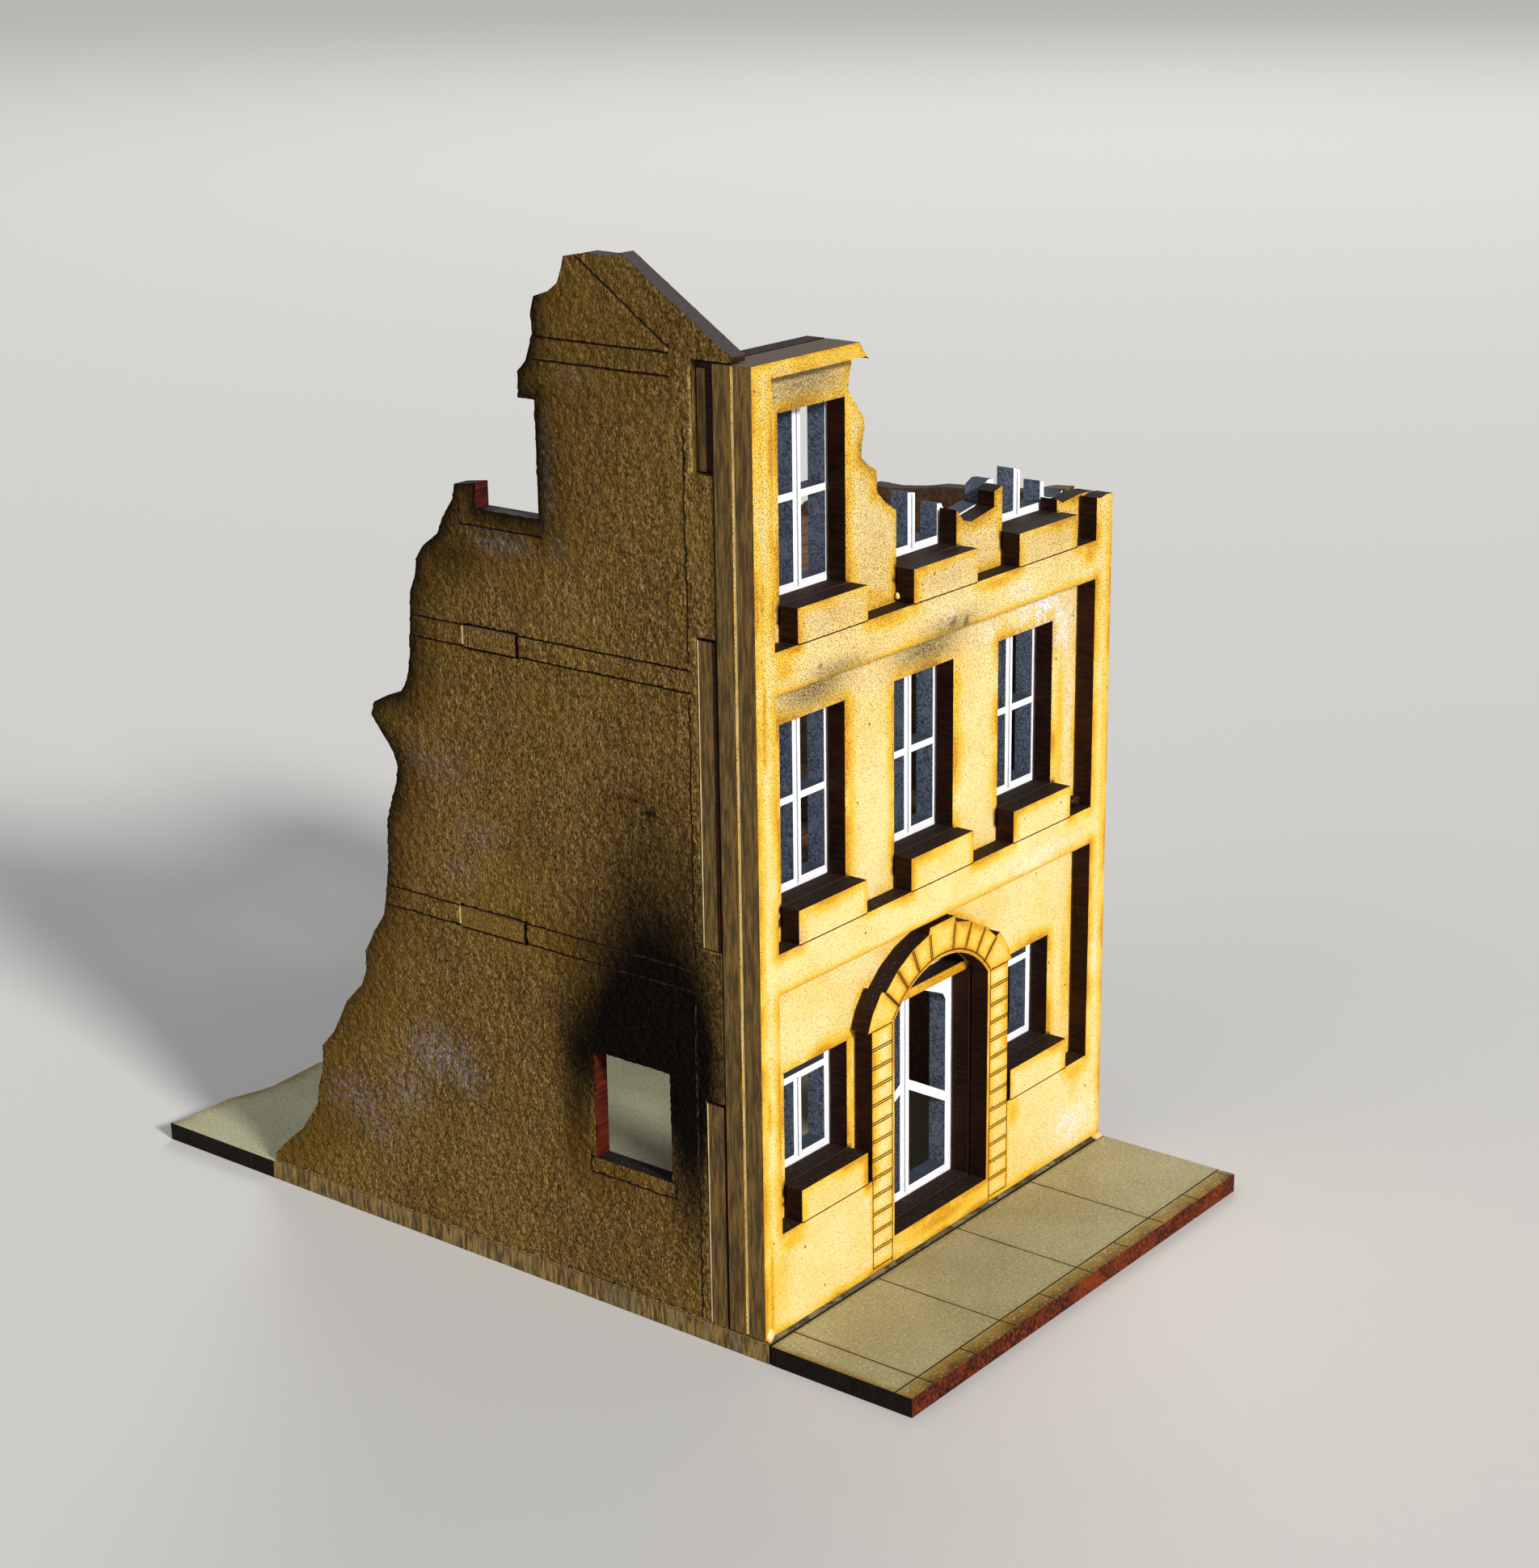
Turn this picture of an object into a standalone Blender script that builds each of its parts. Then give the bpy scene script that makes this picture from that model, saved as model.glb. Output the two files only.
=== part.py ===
"""Ruined town house for tabletop games, a kit of flat sheets glued together.

Every piece is cut from the same 3 mm board.  Three sheets lie one behind the
other in the front: a facade overlay with the pilasters, bands, sills and door
surround, a wall with the bare openings, and a sheet with the window bars.
The gable on the left and the party wall on the right are locked into the
window sheet by fingers, and two floors reach through slots in those walls.

Outlines are drawn in millimetres in the building's own coordinates: X along
the facade from its left end, Y from the facade's face to the rear, and Z up
from the top of the base.  An empty carries them to the model's origin, which
is under the middle of the base.
"""

import math

import bpy

MM = 0.001
SHEET = 3.0
GAP = 0.3

FACADE_WIDTH = 84.4
PAVEMENT_DEPTH = 23.8
BASE_LIP = 0.5
BASE_REAR = 121.5
FOOT = GAP

PILASTER = 4.0
PANEL_RIGHT = FACADE_WIDTH - 4.3
PLINTH_TOP = 14.8
BAND_HEIGHT = 5.8
FIRST_BAND_TOP = 55.3
SECOND_BAND_TOP = 96.3
CORNICE_FOOT = 131.3
FACADE_TOP = 133.3
BROKEN_TOP = 102.5

WINDOW_WIDTH = 14.2
WINDOW_CENTRES = (15.95, 41.4, 66.8)
TOP_CENTRES = (16.35, 41.9, 67.4)
SILL_WIDTH = 15.1
SILL_HEIGHT = 4.8
GROUND_HEAD = 35.9
FIRST_HEAD = 85.0
TOP_HEAD = 125.8

BAR = 1.0
MULLION = 1.7
GROUND_TRANSOM = 31.7
FIRST_TRANSOM = 72.1
TOP_TRANSOM = 113.1
GROUND_SHIFT = 0.1
FIRST_SHIFT = 0.7
TOP_SHIFT = 1.0
LAST_SHIFT = 1.5

DOOR_CENTRE = 41.4
DOOR_HALF = 11.6
THRESHOLD = 4.2
SPRINGING = 37.4
ARCH_RISE = 5.9
FAN_BAR = 0.9
JAMB_OUTER = 16.85
DOOR_BAR = 2.2
DOOR_FOOT_RAIL = 1.1
DOOR_STILE = 1.3

FIRST_FLOOR_Z = 48.6
SECOND_FLOOR_Z = 90.0

OVERLAY_Y = 0.0
WALL_Y = OVERLAY_Y + SHEET + GAP
WINDOWS_Y = WALL_Y + SHEET + GAP
ROOM_Y = WINDOWS_Y + SHEET + GAP
ROOM_LEFT = SHEET + GAP
ROOM_RIGHT = FACADE_WIDTH - SHEET - GAP

# Heights at which the side walls and the window sheet change places.
FINGERS = (33.25, 55.25, 97.55, 119.05)

FACADE_TURN = (math.radians(90), 0.0, 0.0)
SIDE_TURN = (math.radians(90), 0.0, math.radians(90))
FLAT = (0.0, 0.0, 0.0)


def clear_scene():
    for item in list(bpy.data.objects):
        bpy.data.objects.remove(item, do_unlink=True)


def paint(name, colour, roughness):
    """A plain painted or burnt board finish."""
    material = bpy.data.materials.new(name)
    material.use_nodes = True
    shader = material.node_tree.nodes["Principled BSDF"]
    shader.inputs["Base Color"].default_value = (*colour, 1.0)
    shader.inputs["Roughness"].default_value = roughness
    shader.inputs["Metallic"].default_value = 0.0
    return material


def sheet(name, outlines, turn, place, material):
    """Cut one sheet: the first outline is its edge, the others are holes."""
    curve = bpy.data.curves.new(name, "CURVE")
    curve.dimensions = "2D"
    curve.fill_mode = "BOTH"
    curve.extrude = SHEET / 2 * MM
    for outline in outlines:
        spline = curve.splines.new("POLY")
        spline.points.add(len(outline) - 1)
        for point, (across, along) in zip(spline.points, outline):
            point.co = (across * MM, along * MM, 0.0, 1.0)
        spline.use_cyclic_u = True
    curve.materials.append(material)
    board = bpy.data.objects.new(name, curve)
    board.location = [value * MM for value in place]
    board.rotation_euler = turn
    board.parent = origin
    parts.objects.link(board)
    return board


def rectangle(left, right, low, high):
    return [(left, low), (right, low), (right, high), (left, high)]


def arc(centre, half_width, foot, rise, steps):
    """Points of a flat arch from its right springing to its left one."""
    radius = (half_width ** 2 + rise ** 2) / (2 * rise)
    reach = math.asin(half_width / radius)
    points = []
    for step in range(steps + 1):
        angle = reach - 2 * reach * step / steps
        across = centre + radius * math.sin(angle)
        height = foot + rise - radius + radius * math.cos(angle)
        points.append((across, height))
    return points


def mirrored(points, centre):
    return [(2 * centre - across, height) for across, height in reversed(points)]


def sill_steps(centres, foot):
    """The line along a band or plinth that climbs over each sill block."""
    line = []
    for centre in centres:
        left = centre - SILL_WIDTH / 2
        right = centre + SILL_WIDTH / 2
        line.append((left, foot))
        line.append((left, foot + SILL_HEIGHT))
        line.append((right, foot + SILL_HEIGHT))
        line.append((right, foot))
    return line


def overlay_outlines():
    """Front sheet: pilasters, plinth, bands, sills, cornice and door surround."""
    top = BROKEN_TOP + 0.1
    pilaster_break = [(FACADE_WIDTH, top), (82.6, 102.7), (81.2, 102.4), (PANEL_RIGHT, top)]
    top_sills = list(reversed(sill_steps(TOP_CENTRES, SECOND_BAND_TOP)))
    cornice = [(23.6, CORNICE_FOOT), (24.4, 130.9), (23.2, 132.0), (22.3, FACADE_TOP), (0.0, FACADE_TOP)]
    edge = [(0.0, FOOT), (FACADE_WIDTH, FOOT)]
    edge += pilaster_break
    edge.append((PANEL_RIGHT, SECOND_BAND_TOP))
    edge += top_sills
    edge += [(PILASTER, SECOND_BAND_TOP), (PILASTER, CORNICE_FOOT)]
    edge += cornice

    first_panel = [(PILASTER, FIRST_BAND_TOP)]
    first_panel += sill_steps(WINDOW_CENTRES, FIRST_BAND_TOP)
    first_panel += [(PANEL_RIGHT, FIRST_BAND_TOP), (PANEL_RIGHT, SECOND_BAND_TOP - BAND_HEIGHT)]
    first_panel.append((PILASTER, SECOND_BAND_TOP - BAND_HEIGHT))

    # The left half of the door surround's outside, from the plinth up to the
    # keystone: a jamb, a wide springer, three stepped stones, the keystone.
    half_surround = [
        (DOOR_CENTRE - JAMB_OUTER, PLINTH_TOP),
        (DOOR_CENTRE - JAMB_OUTER, SPRINGING),
        (DOOR_CENTRE - 17.8, SPRINGING),
        (DOOR_CENTRE - 16.7, 39.9),
        (DOOR_CENTRE - 14.6, 42.6),
        (DOOR_CENTRE - 13.6, 42.2),
        (DOOR_CENTRE - 10.8, 44.6),
        (DOOR_CENTRE - 7.2, 46.5),
        (DOOR_CENTRE - 3.3, 47.6),
        (DOOR_CENTRE - 3.0, 48.6),
    ]
    ground_panel = [(PILASTER, PLINTH_TOP)]
    ground_panel += sill_steps(WINDOW_CENTRES[:1], PLINTH_TOP)
    ground_panel += half_surround
    ground_panel += mirrored(half_surround, DOOR_CENTRE)
    ground_panel += sill_steps(WINDOW_CENTRES[2:], PLINTH_TOP)
    ground_panel += [(PANEL_RIGHT, PLINTH_TOP), (PANEL_RIGHT, FIRST_BAND_TOP - BAND_HEIGHT)]
    ground_panel.append((PILASTER, FIRST_BAND_TOP - BAND_HEIGHT))

    doorway = [(DOOR_CENTRE - DOOR_HALF, THRESHOLD), (DOOR_CENTRE + DOOR_HALF, THRESHOLD)]
    doorway += arc(DOOR_CENTRE, DOOR_HALF, SPRINGING, ARCH_RISE, 16)
    return [edge, first_panel, ground_panel, doorway]


def wall_outlines():
    """Middle sheet: the wall itself, broken away above the first floor."""
    half = WINDOW_WIDTH / 2
    left_break = [
        (24.6, 131.4), (25.0, 130.1), (24.5, 128.6), (24.2, 126.6), (26.3, 123.9), (27.5, 122.5),
        (27.8, 121.0), (27.2, 119.3), (27.0, 117.2), (28.6, 115.9), (30.4, 114.9), (30.5, 111.9),
        (32.1, 110.4), (34.8, 108.7),
    ]
    middle_break = [
        (49.0, 106.1), (50.7, 104.3), (52.6, 103.8), (58.3, 104.8), (58.3, 107.0), (60.3, 107.6),
    ]
    right_break = [(74.5, 103.0), (75.9, 102.2), (80.6, 102.7), (FACADE_WIDTH, BROKEN_TOP)]
    sill = SECOND_BAND_TOP + SILL_HEIGHT
    edge = [(0.0, FOOT), (FACADE_WIDTH, FOOT)]
    edge += reversed(right_break)
    edge += [(TOP_CENTRES[2] + half, sill), (TOP_CENTRES[2] - half, sill)]
    edge += reversed(middle_break)
    edge += [(TOP_CENTRES[1] + half, sill), (TOP_CENTRES[1] - half, sill)]
    edge += reversed(left_break)
    edge += [(23.4, FACADE_TOP - 0.2), (0.0, FACADE_TOP - 0.2)]

    def window(centre, foot, head):
        return rectangle(centre - half, centre + half, foot, head)

    holes = [window(centre, FIRST_BAND_TOP + SILL_HEIGHT, FIRST_HEAD) for centre in WINDOW_CENTRES]
    holes.append(window(TOP_CENTRES[0], sill, TOP_HEAD))
    for centre in (WINDOW_CENTRES[0], WINDOW_CENTRES[2]):
        holes.append(window(centre, PLINTH_TOP + SILL_HEIGHT, GROUND_HEAD))
    holes.append(rectangle(DOOR_CENTRE - DOOR_HALF, DOOR_CENTRE + DOOR_HALF, THRESHOLD, SPRINGING - 0.1))
    lunette = arc(DOOR_CENTRE, DOOR_HALF, SPRINGING, ARCH_RISE, 16)
    holes.append([point for point in lunette if point[1] > SPRINGING + FAN_BAR])
    return [edge] + holes


def pane_row(centre, foot, head):
    """Two panes side by side, either side of a mullion."""
    reach = WINDOW_WIDTH / 2 - BAR
    left = rectangle(centre - reach, centre - MULLION / 2, foot, head)
    right = rectangle(centre + MULLION / 2, centre + reach, foot, head)
    return [left, right]


def door_panes():
    """Panes of the right leaf, whose cross bars fall towards the hinge side."""
    inner = DOOR_CENTRE + DOOR_BAR / 2
    outer = DOOR_CENTRE + DOOR_HALF - DOOR_STILE
    foot = THRESHOLD + DOOR_FOOT_RAIL
    lower = [(inner, foot), (outer, foot), (outer, 15.6), (inner, 20.7)]
    upper = [(inner, 22.3), (outer, 17.2), (outer, 32.0), (outer - 0.7, 33.0), (inner, 36.7)]
    return lower, upper


def windows_outlines():
    """Rear sheet: bars of the windows and the double door, with wall fingers."""
    sill = SECOND_BAND_TOP + SILL_HEIGHT
    rail = sill + BAR
    first = FIRST_BAND_TOP + SILL_HEIGHT + BAR
    ground = PLINTH_TOP + SILL_HEIGHT + BAR
    reach = WINDOW_WIDTH / 2 - BAR
    half_bar = MULLION / 2
    second = TOP_CENTRES[1] + TOP_SHIFT
    third = TOP_CENTRES[2] + LAST_SHIFT
    low, high, low_2, high_2 = FINGERS
    half_gap = GAP / 2

    # Down the right-hand side, then along the broken top from right to left.
    edge = [
        (0.0, FOOT), (FACADE_WIDTH, FOOT), (FACADE_WIDTH, low - half_gap), (ROOM_RIGHT, low - half_gap),
        (ROOM_RIGHT, high + half_gap), (FACADE_WIDTH, high + half_gap), (FACADE_WIDTH, low_2 - half_gap),
        (ROOM_RIGHT, low_2 - half_gap), (ROOM_RIGHT, 102.8), (79.8, 102.2), (77.5, 102.3), (76.1, 102.7),
        (third + reach + BAR, 105.0), (third + reach, 105.2), (third + reach, rail), (third + half_bar, rail),
        (third + half_bar, 107.7), (third - half_bar, 108.3), (third - half_bar, rail), (third - reach, rail),
        (third - reach, 107.7), (61.6, 107.8), (59.9, 107.0), (59.9, 105.0), (53.2, 104.0), (51.2, 104.6),
        (second + reach + BAR, 106.5), (second + reach, 106.6), (second + reach, rail),
        (second + half_bar, rail), (second + half_bar, 109.1), (second - half_bar, 109.4),
        (second - half_bar, rail), (second - reach, rail), (second - reach, 107.9), (34.6, 108.8),
        (32.0, 110.4), (30.4, 111.9), (30.2, 114.8), (27.0, 117.1), (27.6, 121.0), (26.1, 123.9),
        (24.3, 126.9), (24.6, 130.1), (23.6, FACADE_TOP - 0.2),
    ]
    tab_recess = 1.0
    edge += [
        (tab_recess, FACADE_TOP - 0.2), (tab_recess, high_2 + half_gap), (ROOM_LEFT, high_2 + half_gap),
        (ROOM_LEFT, low_2 - half_gap), (0.0, low_2 - half_gap), (0.0, high + half_gap),
        (ROOM_LEFT, high + half_gap), (ROOM_LEFT, low - half_gap), (0.0, low - half_gap),
    ]

    holes = []
    for centre in WINDOW_CENTRES:
        holes += pane_row(centre + FIRST_SHIFT, first, FIRST_TRANSOM)
        holes += pane_row(centre + FIRST_SHIFT, FIRST_TRANSOM + BAR, FIRST_HEAD - BAR)
    holes += pane_row(TOP_CENTRES[0] + TOP_SHIFT, rail, TOP_TRANSOM)
    holes += pane_row(TOP_CENTRES[0] + TOP_SHIFT, TOP_TRANSOM + BAR, TOP_HEAD - BAR)
    for centre in (WINDOW_CENTRES[0] + GROUND_SHIFT, WINDOW_CENTRES[2] + GROUND_SHIFT):
        holes += pane_row(centre, ground, GROUND_TRANSOM)
        holes.append(rectangle(centre - reach, centre + reach, GROUND_TRANSOM + BAR, GROUND_HEAD - 0.2))
    for pane in door_panes():
        holes.append(pane)
        holes.append(mirrored(pane, DOOR_CENTRE))
    return [edge] + holes


def finger_edge(top):
    """Front edge of a side wall, from its foot up to the given height."""
    steps = [(ROOM_Y, FOOT)]
    inside = True
    for height in FINGERS:
        if height > top:
            break
        rise = GAP / 2 if inside else -GAP / 2
        here = ROOM_Y if inside else WINDOWS_Y
        there = WINDOWS_Y if inside else ROOM_Y
        steps.append((here, height + rise))
        steps.append((there, height + rise))
        inside = not inside
    return steps


def floor_slot(start, end, floor_z):
    return rectangle(start - GAP, end + GAP, floor_z - GAP, floor_z + SHEET + GAP)


FIRST_TAB = (42.0, 54.0)
SECOND_TAB = (41.5, 51.0)


def gable_outlines():
    """Left wall: a gable with half its roof slope and a torn rear edge."""
    nose = [(ROOM_Y, FACADE_TOP + 0.1), (WALL_Y, FACADE_TOP + 0.1), (WALL_Y, 134.1)]
    roof_break = [
        (21.0, 145.6), (22.4, 145.1), (27.0, 145.2), (28.5, 144.8), (30.6, 144.5), (31.0, 143.0),
        (31.8, 141.0), (33.5, 139.8), (36.0, 139.0), (36.6, 137.0), (36.3, 134.5), (37.8, 130.5),
        (39.3, 128.9), (39.3, 125.5),
    ]
    top_window = [(36.5, 125.5), (36.5, 109.6), (48.0, 109.6), (48.0, 113.0)]
    rear_break = [
        (51.8, 112.5), (52.1, 110.6), (54.2, 107.6), (55.4, 105.2), (58.2, 103.1), (59.7, 101.0),
        (60.1, 98.6), (61.2, 96.3), (61.6, 91.0), (61.9, 87.0), (62.6, 83.6), (64.0, 81.2), (66.5, 80.5),
        (69.5, 79.0), (70.3, 77.0), (68.1, 74.3), (66.0, 72.0), (65.5, 70.0), (66.0, 67.5), (67.3, 64.0),
        (68.2, 61.5), (68.5, 55.0), (69.3, 50.0), (69.9, 46.8), (72.2, 43.6), (74.3, 40.0), (74.4, 37.0),
        (75.5, 34.5), (79.0, 31.0), (80.6, 28.0), (82.2, 25.3), (84.8, 22.5), (85.2, 18.2), (86.3, 15.4),
        (86.7, 12.5), (88.4, 10.1), (90.5, 7.2), (93.2, 5.0), (97.0, 1.4), (97.0, FOOT),
    ]
    edge = finger_edge(FACADE_TOP) + nose + roof_break + top_window + rear_break
    small_window = rectangle(16.2, 30.0, 19.3, 35.5)
    first_slot = floor_slot(*FIRST_TAB, FIRST_FLOOR_Z)
    second_slot = floor_slot(*SECOND_TAB, SECOND_FLOOR_Z)
    return [edge, small_window, first_slot, second_slot]


def party_outlines():
    """Right wall, lower than the gable, with a torn top and rear edge."""
    top_break = [
        (WINDOWS_Y, BROKEN_TOP + 0.4), (10.0, 102.6), (13.2, 101.7), (18.0, 101.2), (22.0, 100.8),
        (25.0, 100.7), (29.0, 100.5), (33.0, 99.7), (37.5, 99.2), (42.0, 99.3), (44.5, 97.6),
        (48.5, 96.4), (54.8, 95.0),
    ]
    rear_break = [
        (57.5, 92.2), (58.4, 88.0), (61.7, 85.2), (62.9, 80.1), (66.8, 77.0), (67.6, 72.4), (65.2, 68.3),
        (66.4, 62.0), (70.3, 58.7), (71.4, 51.5), (74.9, 46.8), (76.6, 39.6), (80.8, 36.1), (82.9, 28.4),
        (86.6, 24.0), (88.0, 15.6), (92.4, 9.7), (95.1, 5.2), (97.0, 3.2), (97.0, FOOT),
    ]
    edge = finger_edge(BROKEN_TOP) + top_break + rear_break
    return [edge, floor_slot(*FIRST_TAB, FIRST_FLOOR_Z), floor_slot(*SECOND_TAB, SECOND_FLOOR_Z)]


def floor_outline(tab, rear_break):
    """A floor with a tab through each side wall and a torn rear edge."""
    start, end = tab
    outline = [(ROOM_LEFT, ROOM_Y), (ROOM_RIGHT, ROOM_Y)]
    outline += [(ROOM_RIGHT, start), (FACADE_WIDTH, start), (FACADE_WIDTH, end), (ROOM_RIGHT, end)]
    outline += rear_break
    outline += [(ROOM_LEFT, end), (0.0, end), (0.0, start), (ROOM_LEFT, start)]
    return outline


def base_outline():
    rear_break = [
        (FACADE_WIDTH, 116.0), (80.2, 117.6), (75.5, 117.0), (71.3, 119.4), (66.0, 120.1), (61.8, 118.2),
        (55.4, 118.8), (50.2, 121.1), (44.0, 120.4), (38.6, 118.1), (31.0, 120.0), (20.0, 119.0),
        (17.0, 119.5), (12.0, 121.0), (5.0, 121.0), (2.8, 120.7), (0.0, BASE_REAR),
    ]
    return [(0.0, -BASE_LIP), (FACADE_WIDTH, -BASE_LIP)] + rear_break


FIRST_FLOOR_BREAK = [
    (ROOM_RIGHT, 63.4), (76.1, 65.2), (71.6, 61.0), (66.9, 62.3), (61.0, 57.1), (55.3, 58.2), (50.8, 52.6),
    (44.1, 54.0), (39.7, 58.8), (33.2, 57.5), (27.5, 62.9), (21.2, 61.7), (16.0, 65.8), (9.4, 64.3),
    (ROOM_LEFT, 66.5),
]
SECOND_FLOOR_BREAK = [
    (ROOM_RIGHT, 55.6), (75.0, 56.8), (70.2, 53.2), (64.5, 54.4), (59.8, 48.9), (52.6, 50.3), (47.0, 45.2),
    (40.9, 46.8), (35.4, 43.1), (29.3, 47.9), (23.8, 46.6), (18.4, 52.0), (12.7, 51.1), (8.2, 55.5),
    (ROOM_LEFT, 56.9),
]

clear_scene()
parts = bpy.data.collections.new("terrain_ruin")
bpy.context.scene.collection.children.link(parts)
origin = bpy.data.objects.new("ruin_origin", None)
middle_depth = (BASE_REAR - BASE_LIP - PAVEMENT_DEPTH) / 2
origin.location = (-FACADE_WIDTH / 2 * MM, -middle_depth * MM, SHEET * MM)
parts.objects.link(origin)

cream = paint("cream_plaster", (0.90, 0.68, 0.26), 0.75)
pale_cream = paint("pale_cream_plaster", (0.92, 0.73, 0.36), 0.75)
white = paint("white_joinery", (0.86, 0.86, 0.88), 0.6)
ochre = paint("ochre_stucco", (0.22, 0.15, 0.06), 0.85)
brown = paint("brown_board", (0.10, 0.05, 0.03), 0.8)
olive = paint("olive_ground", (0.45, 0.42, 0.24), 0.8)
stone = paint("stone_pavement", (0.50, 0.46, 0.27), 0.8)
timber = paint("timber_floor", (0.28, 0.17, 0.10), 0.8)

half = SHEET / 2
sheet("base_plate", [base_outline()], FLAT, (0.0, 0.0, -half), olive)
kerb_line = -BASE_LIP - GAP
pavement = rectangle(0.0, FACADE_WIDTH, -BASE_LIP - PAVEMENT_DEPTH, kerb_line)
sheet("pavement", [pavement], FLAT, (0.0, 0.0, -half), stone)
sheet("facade_overlay", overlay_outlines(), FACADE_TURN, (0.0, OVERLAY_Y + half, 0.0), cream)
sheet("facade_wall", wall_outlines(), FACADE_TURN, (0.0, WALL_Y + half, 0.0), pale_cream)
sheet("window_sheet", windows_outlines(), FACADE_TURN, (0.0, WINDOWS_Y + half, 0.0), white)
sheet("gable_wall", gable_outlines(), SIDE_TURN, (half, 0.0, 0.0), ochre)
sheet("party_wall", party_outlines(), SIDE_TURN, (FACADE_WIDTH - half, 0.0, 0.0), brown)
first_floor = floor_outline(FIRST_TAB, FIRST_FLOOR_BREAK)
sheet("first_floor", [first_floor], FLAT, (0.0, 0.0, FIRST_FLOOR_Z + half), timber)
second_floor = floor_outline(SECOND_TAB, SECOND_FLOOR_BREAK)
sheet("second_floor", [second_floor], FLAT, (0.0, 0.0, SECOND_FLOOR_Z + half), timber)
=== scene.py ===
import math

import bmesh
import bpy
import numpy as np
from mathutils import Matrix, Vector, noise
from mathutils.geometry import delaunay_2d_cdt


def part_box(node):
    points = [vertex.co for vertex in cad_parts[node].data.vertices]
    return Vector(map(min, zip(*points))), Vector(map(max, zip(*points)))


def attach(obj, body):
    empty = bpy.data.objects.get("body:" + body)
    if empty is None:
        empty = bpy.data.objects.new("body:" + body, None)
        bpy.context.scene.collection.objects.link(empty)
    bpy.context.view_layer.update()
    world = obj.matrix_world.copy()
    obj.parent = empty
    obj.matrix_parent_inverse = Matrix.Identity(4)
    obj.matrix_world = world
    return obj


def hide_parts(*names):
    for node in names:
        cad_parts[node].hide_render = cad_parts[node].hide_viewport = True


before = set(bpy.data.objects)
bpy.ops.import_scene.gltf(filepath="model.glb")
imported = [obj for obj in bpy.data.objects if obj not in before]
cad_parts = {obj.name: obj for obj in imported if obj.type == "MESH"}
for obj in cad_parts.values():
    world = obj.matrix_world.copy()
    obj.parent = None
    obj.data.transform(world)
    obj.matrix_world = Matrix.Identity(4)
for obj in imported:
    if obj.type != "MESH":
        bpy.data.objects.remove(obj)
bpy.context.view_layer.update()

# --------------------------------------
# Coordinates.  Everything is placed in millimetres from the facade's lower
# left front corner on top of the base: X along the facade, Y to the rear, Z up.
# --------------------------------------
MM = 0.001
overlay_low, overlay_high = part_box("facade_overlay")
base_low, base_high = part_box("base_plate")
ORIGIN = Vector((overlay_low.x, overlay_low.y, base_high.z))
WIDTH = (overlay_high.x - overlay_low.x) / MM


def place(x, y, z):
    """A point of the facade's coordinates as a point of the scene."""
    return ORIGIN + Vector((x, y, z)) * MM


def rgb(red, green, blue):
    """A colour given as it looks on a screen, 0 to 255, as the shader wants it."""
    out = []
    for value in (red, green, blue):
        value = value / 255
        out.append(value / 12.92 if value <= 0.04045 else ((value + 0.055) / 1.055) ** 2.4)
    return (*out, 1.0)


# --------------------------------------
# Sheets.  Each detailed sheet takes its outline from the CAD node, and fills
# it with a fine triangulation that carries grooves, relief and paint masks.
# A sheet's materials come in this order; PAINTED and the two after it are
# kinds of edge that only some sheets have.
# --------------------------------------
FACE, EDGE, BACK, GROOVE, PAINTED, SECOND_EDGE, SHADED_WHITE_CUT = range(7)
FLAT_AXES = {0: (1, 2), 1: (0, 2), 2: (0, 1)}
FLATNESS = 0.01       # how far a flat face's corners may be off its level, in mm
CHAMFER = 0.07        # how far a sheet's rims are drawn in, in mm
JITTER = 0.22         # random shift of a face's grid, as a share of its pitch
CLEARANCE = 0.45      # gap between that grid and any exact line, likewise
GRID_SEED = 7
SMOOTH_ANGLE = math.radians(38)
FAR = 1e3             # a distance past the whole model, in mm


def face_outline(node, axis, front):
    """Border edges of a node's flat face, in mm, and the depth of its other face."""
    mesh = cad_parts[node].data
    points = np.array([(v.co - ORIGIN) / MM for v in mesh.vertices])
    level = points[:, axis].min() if front < 0 else points[:, axis].max()
    far = points[:, axis].max() if front < 0 else points[:, axis].min()
    keep = FLAT_AXES[axis]
    seen = {}
    for face in mesh.polygons:
        corners = [points[i] for i in face.vertices]
        if max(abs(c[axis] - level) for c in corners) > FLATNESS:
            continue
        flat = [(round(c[keep[0]], 3), round(c[keep[1]], 3)) for c in corners]
        for start, end in zip(flat, flat[1:] + flat[:1]):
            key = (min(start, end), max(start, end))
            seen[key] = seen.get(key, 0) + 1
    border = [key for key, count in seen.items() if count == 1]
    return np.array(border, float), level, far


def inside(points, border):
    """Which points lie inside the closed outlines, by counting crossings."""
    result = np.zeros(len(points), bool)
    x, y = points[:, 0], points[:, 1]
    for (x0, y0), (x1, y1) in border:
        if y0 == y1:
            continue
        crosses = (y0 > y) != (y1 > y)
        result ^= crosses & (x < (x1 - x0) * (y - y0) / (y1 - y0) + x0)
    return result


def distance(points, segments):
    """Distance of each point to the nearest of some segments."""
    nearest = np.full(len(points), FAR)
    for start, end in segments:
        start, end = np.array(start, float), np.array(end, float)
        along = end - start
        share = np.clip(((points - start) @ along) / max(along @ along, 1e-12), 0, 1)
        gap = np.linalg.norm(points - (start + share[:, None] * along), axis=1)
        nearest = np.minimum(nearest, gap)
    return nearest


def chopped(start, end, pitch):
    """Points along a line, no further apart than the pitch."""
    start, end = np.array(start, float), np.array(end, float)
    steps = max(1, int(math.ceil(np.linalg.norm(end - start) / pitch)))
    return [tuple(start + (end - start) * i / steps) for i in range(steps + 1)]


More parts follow.
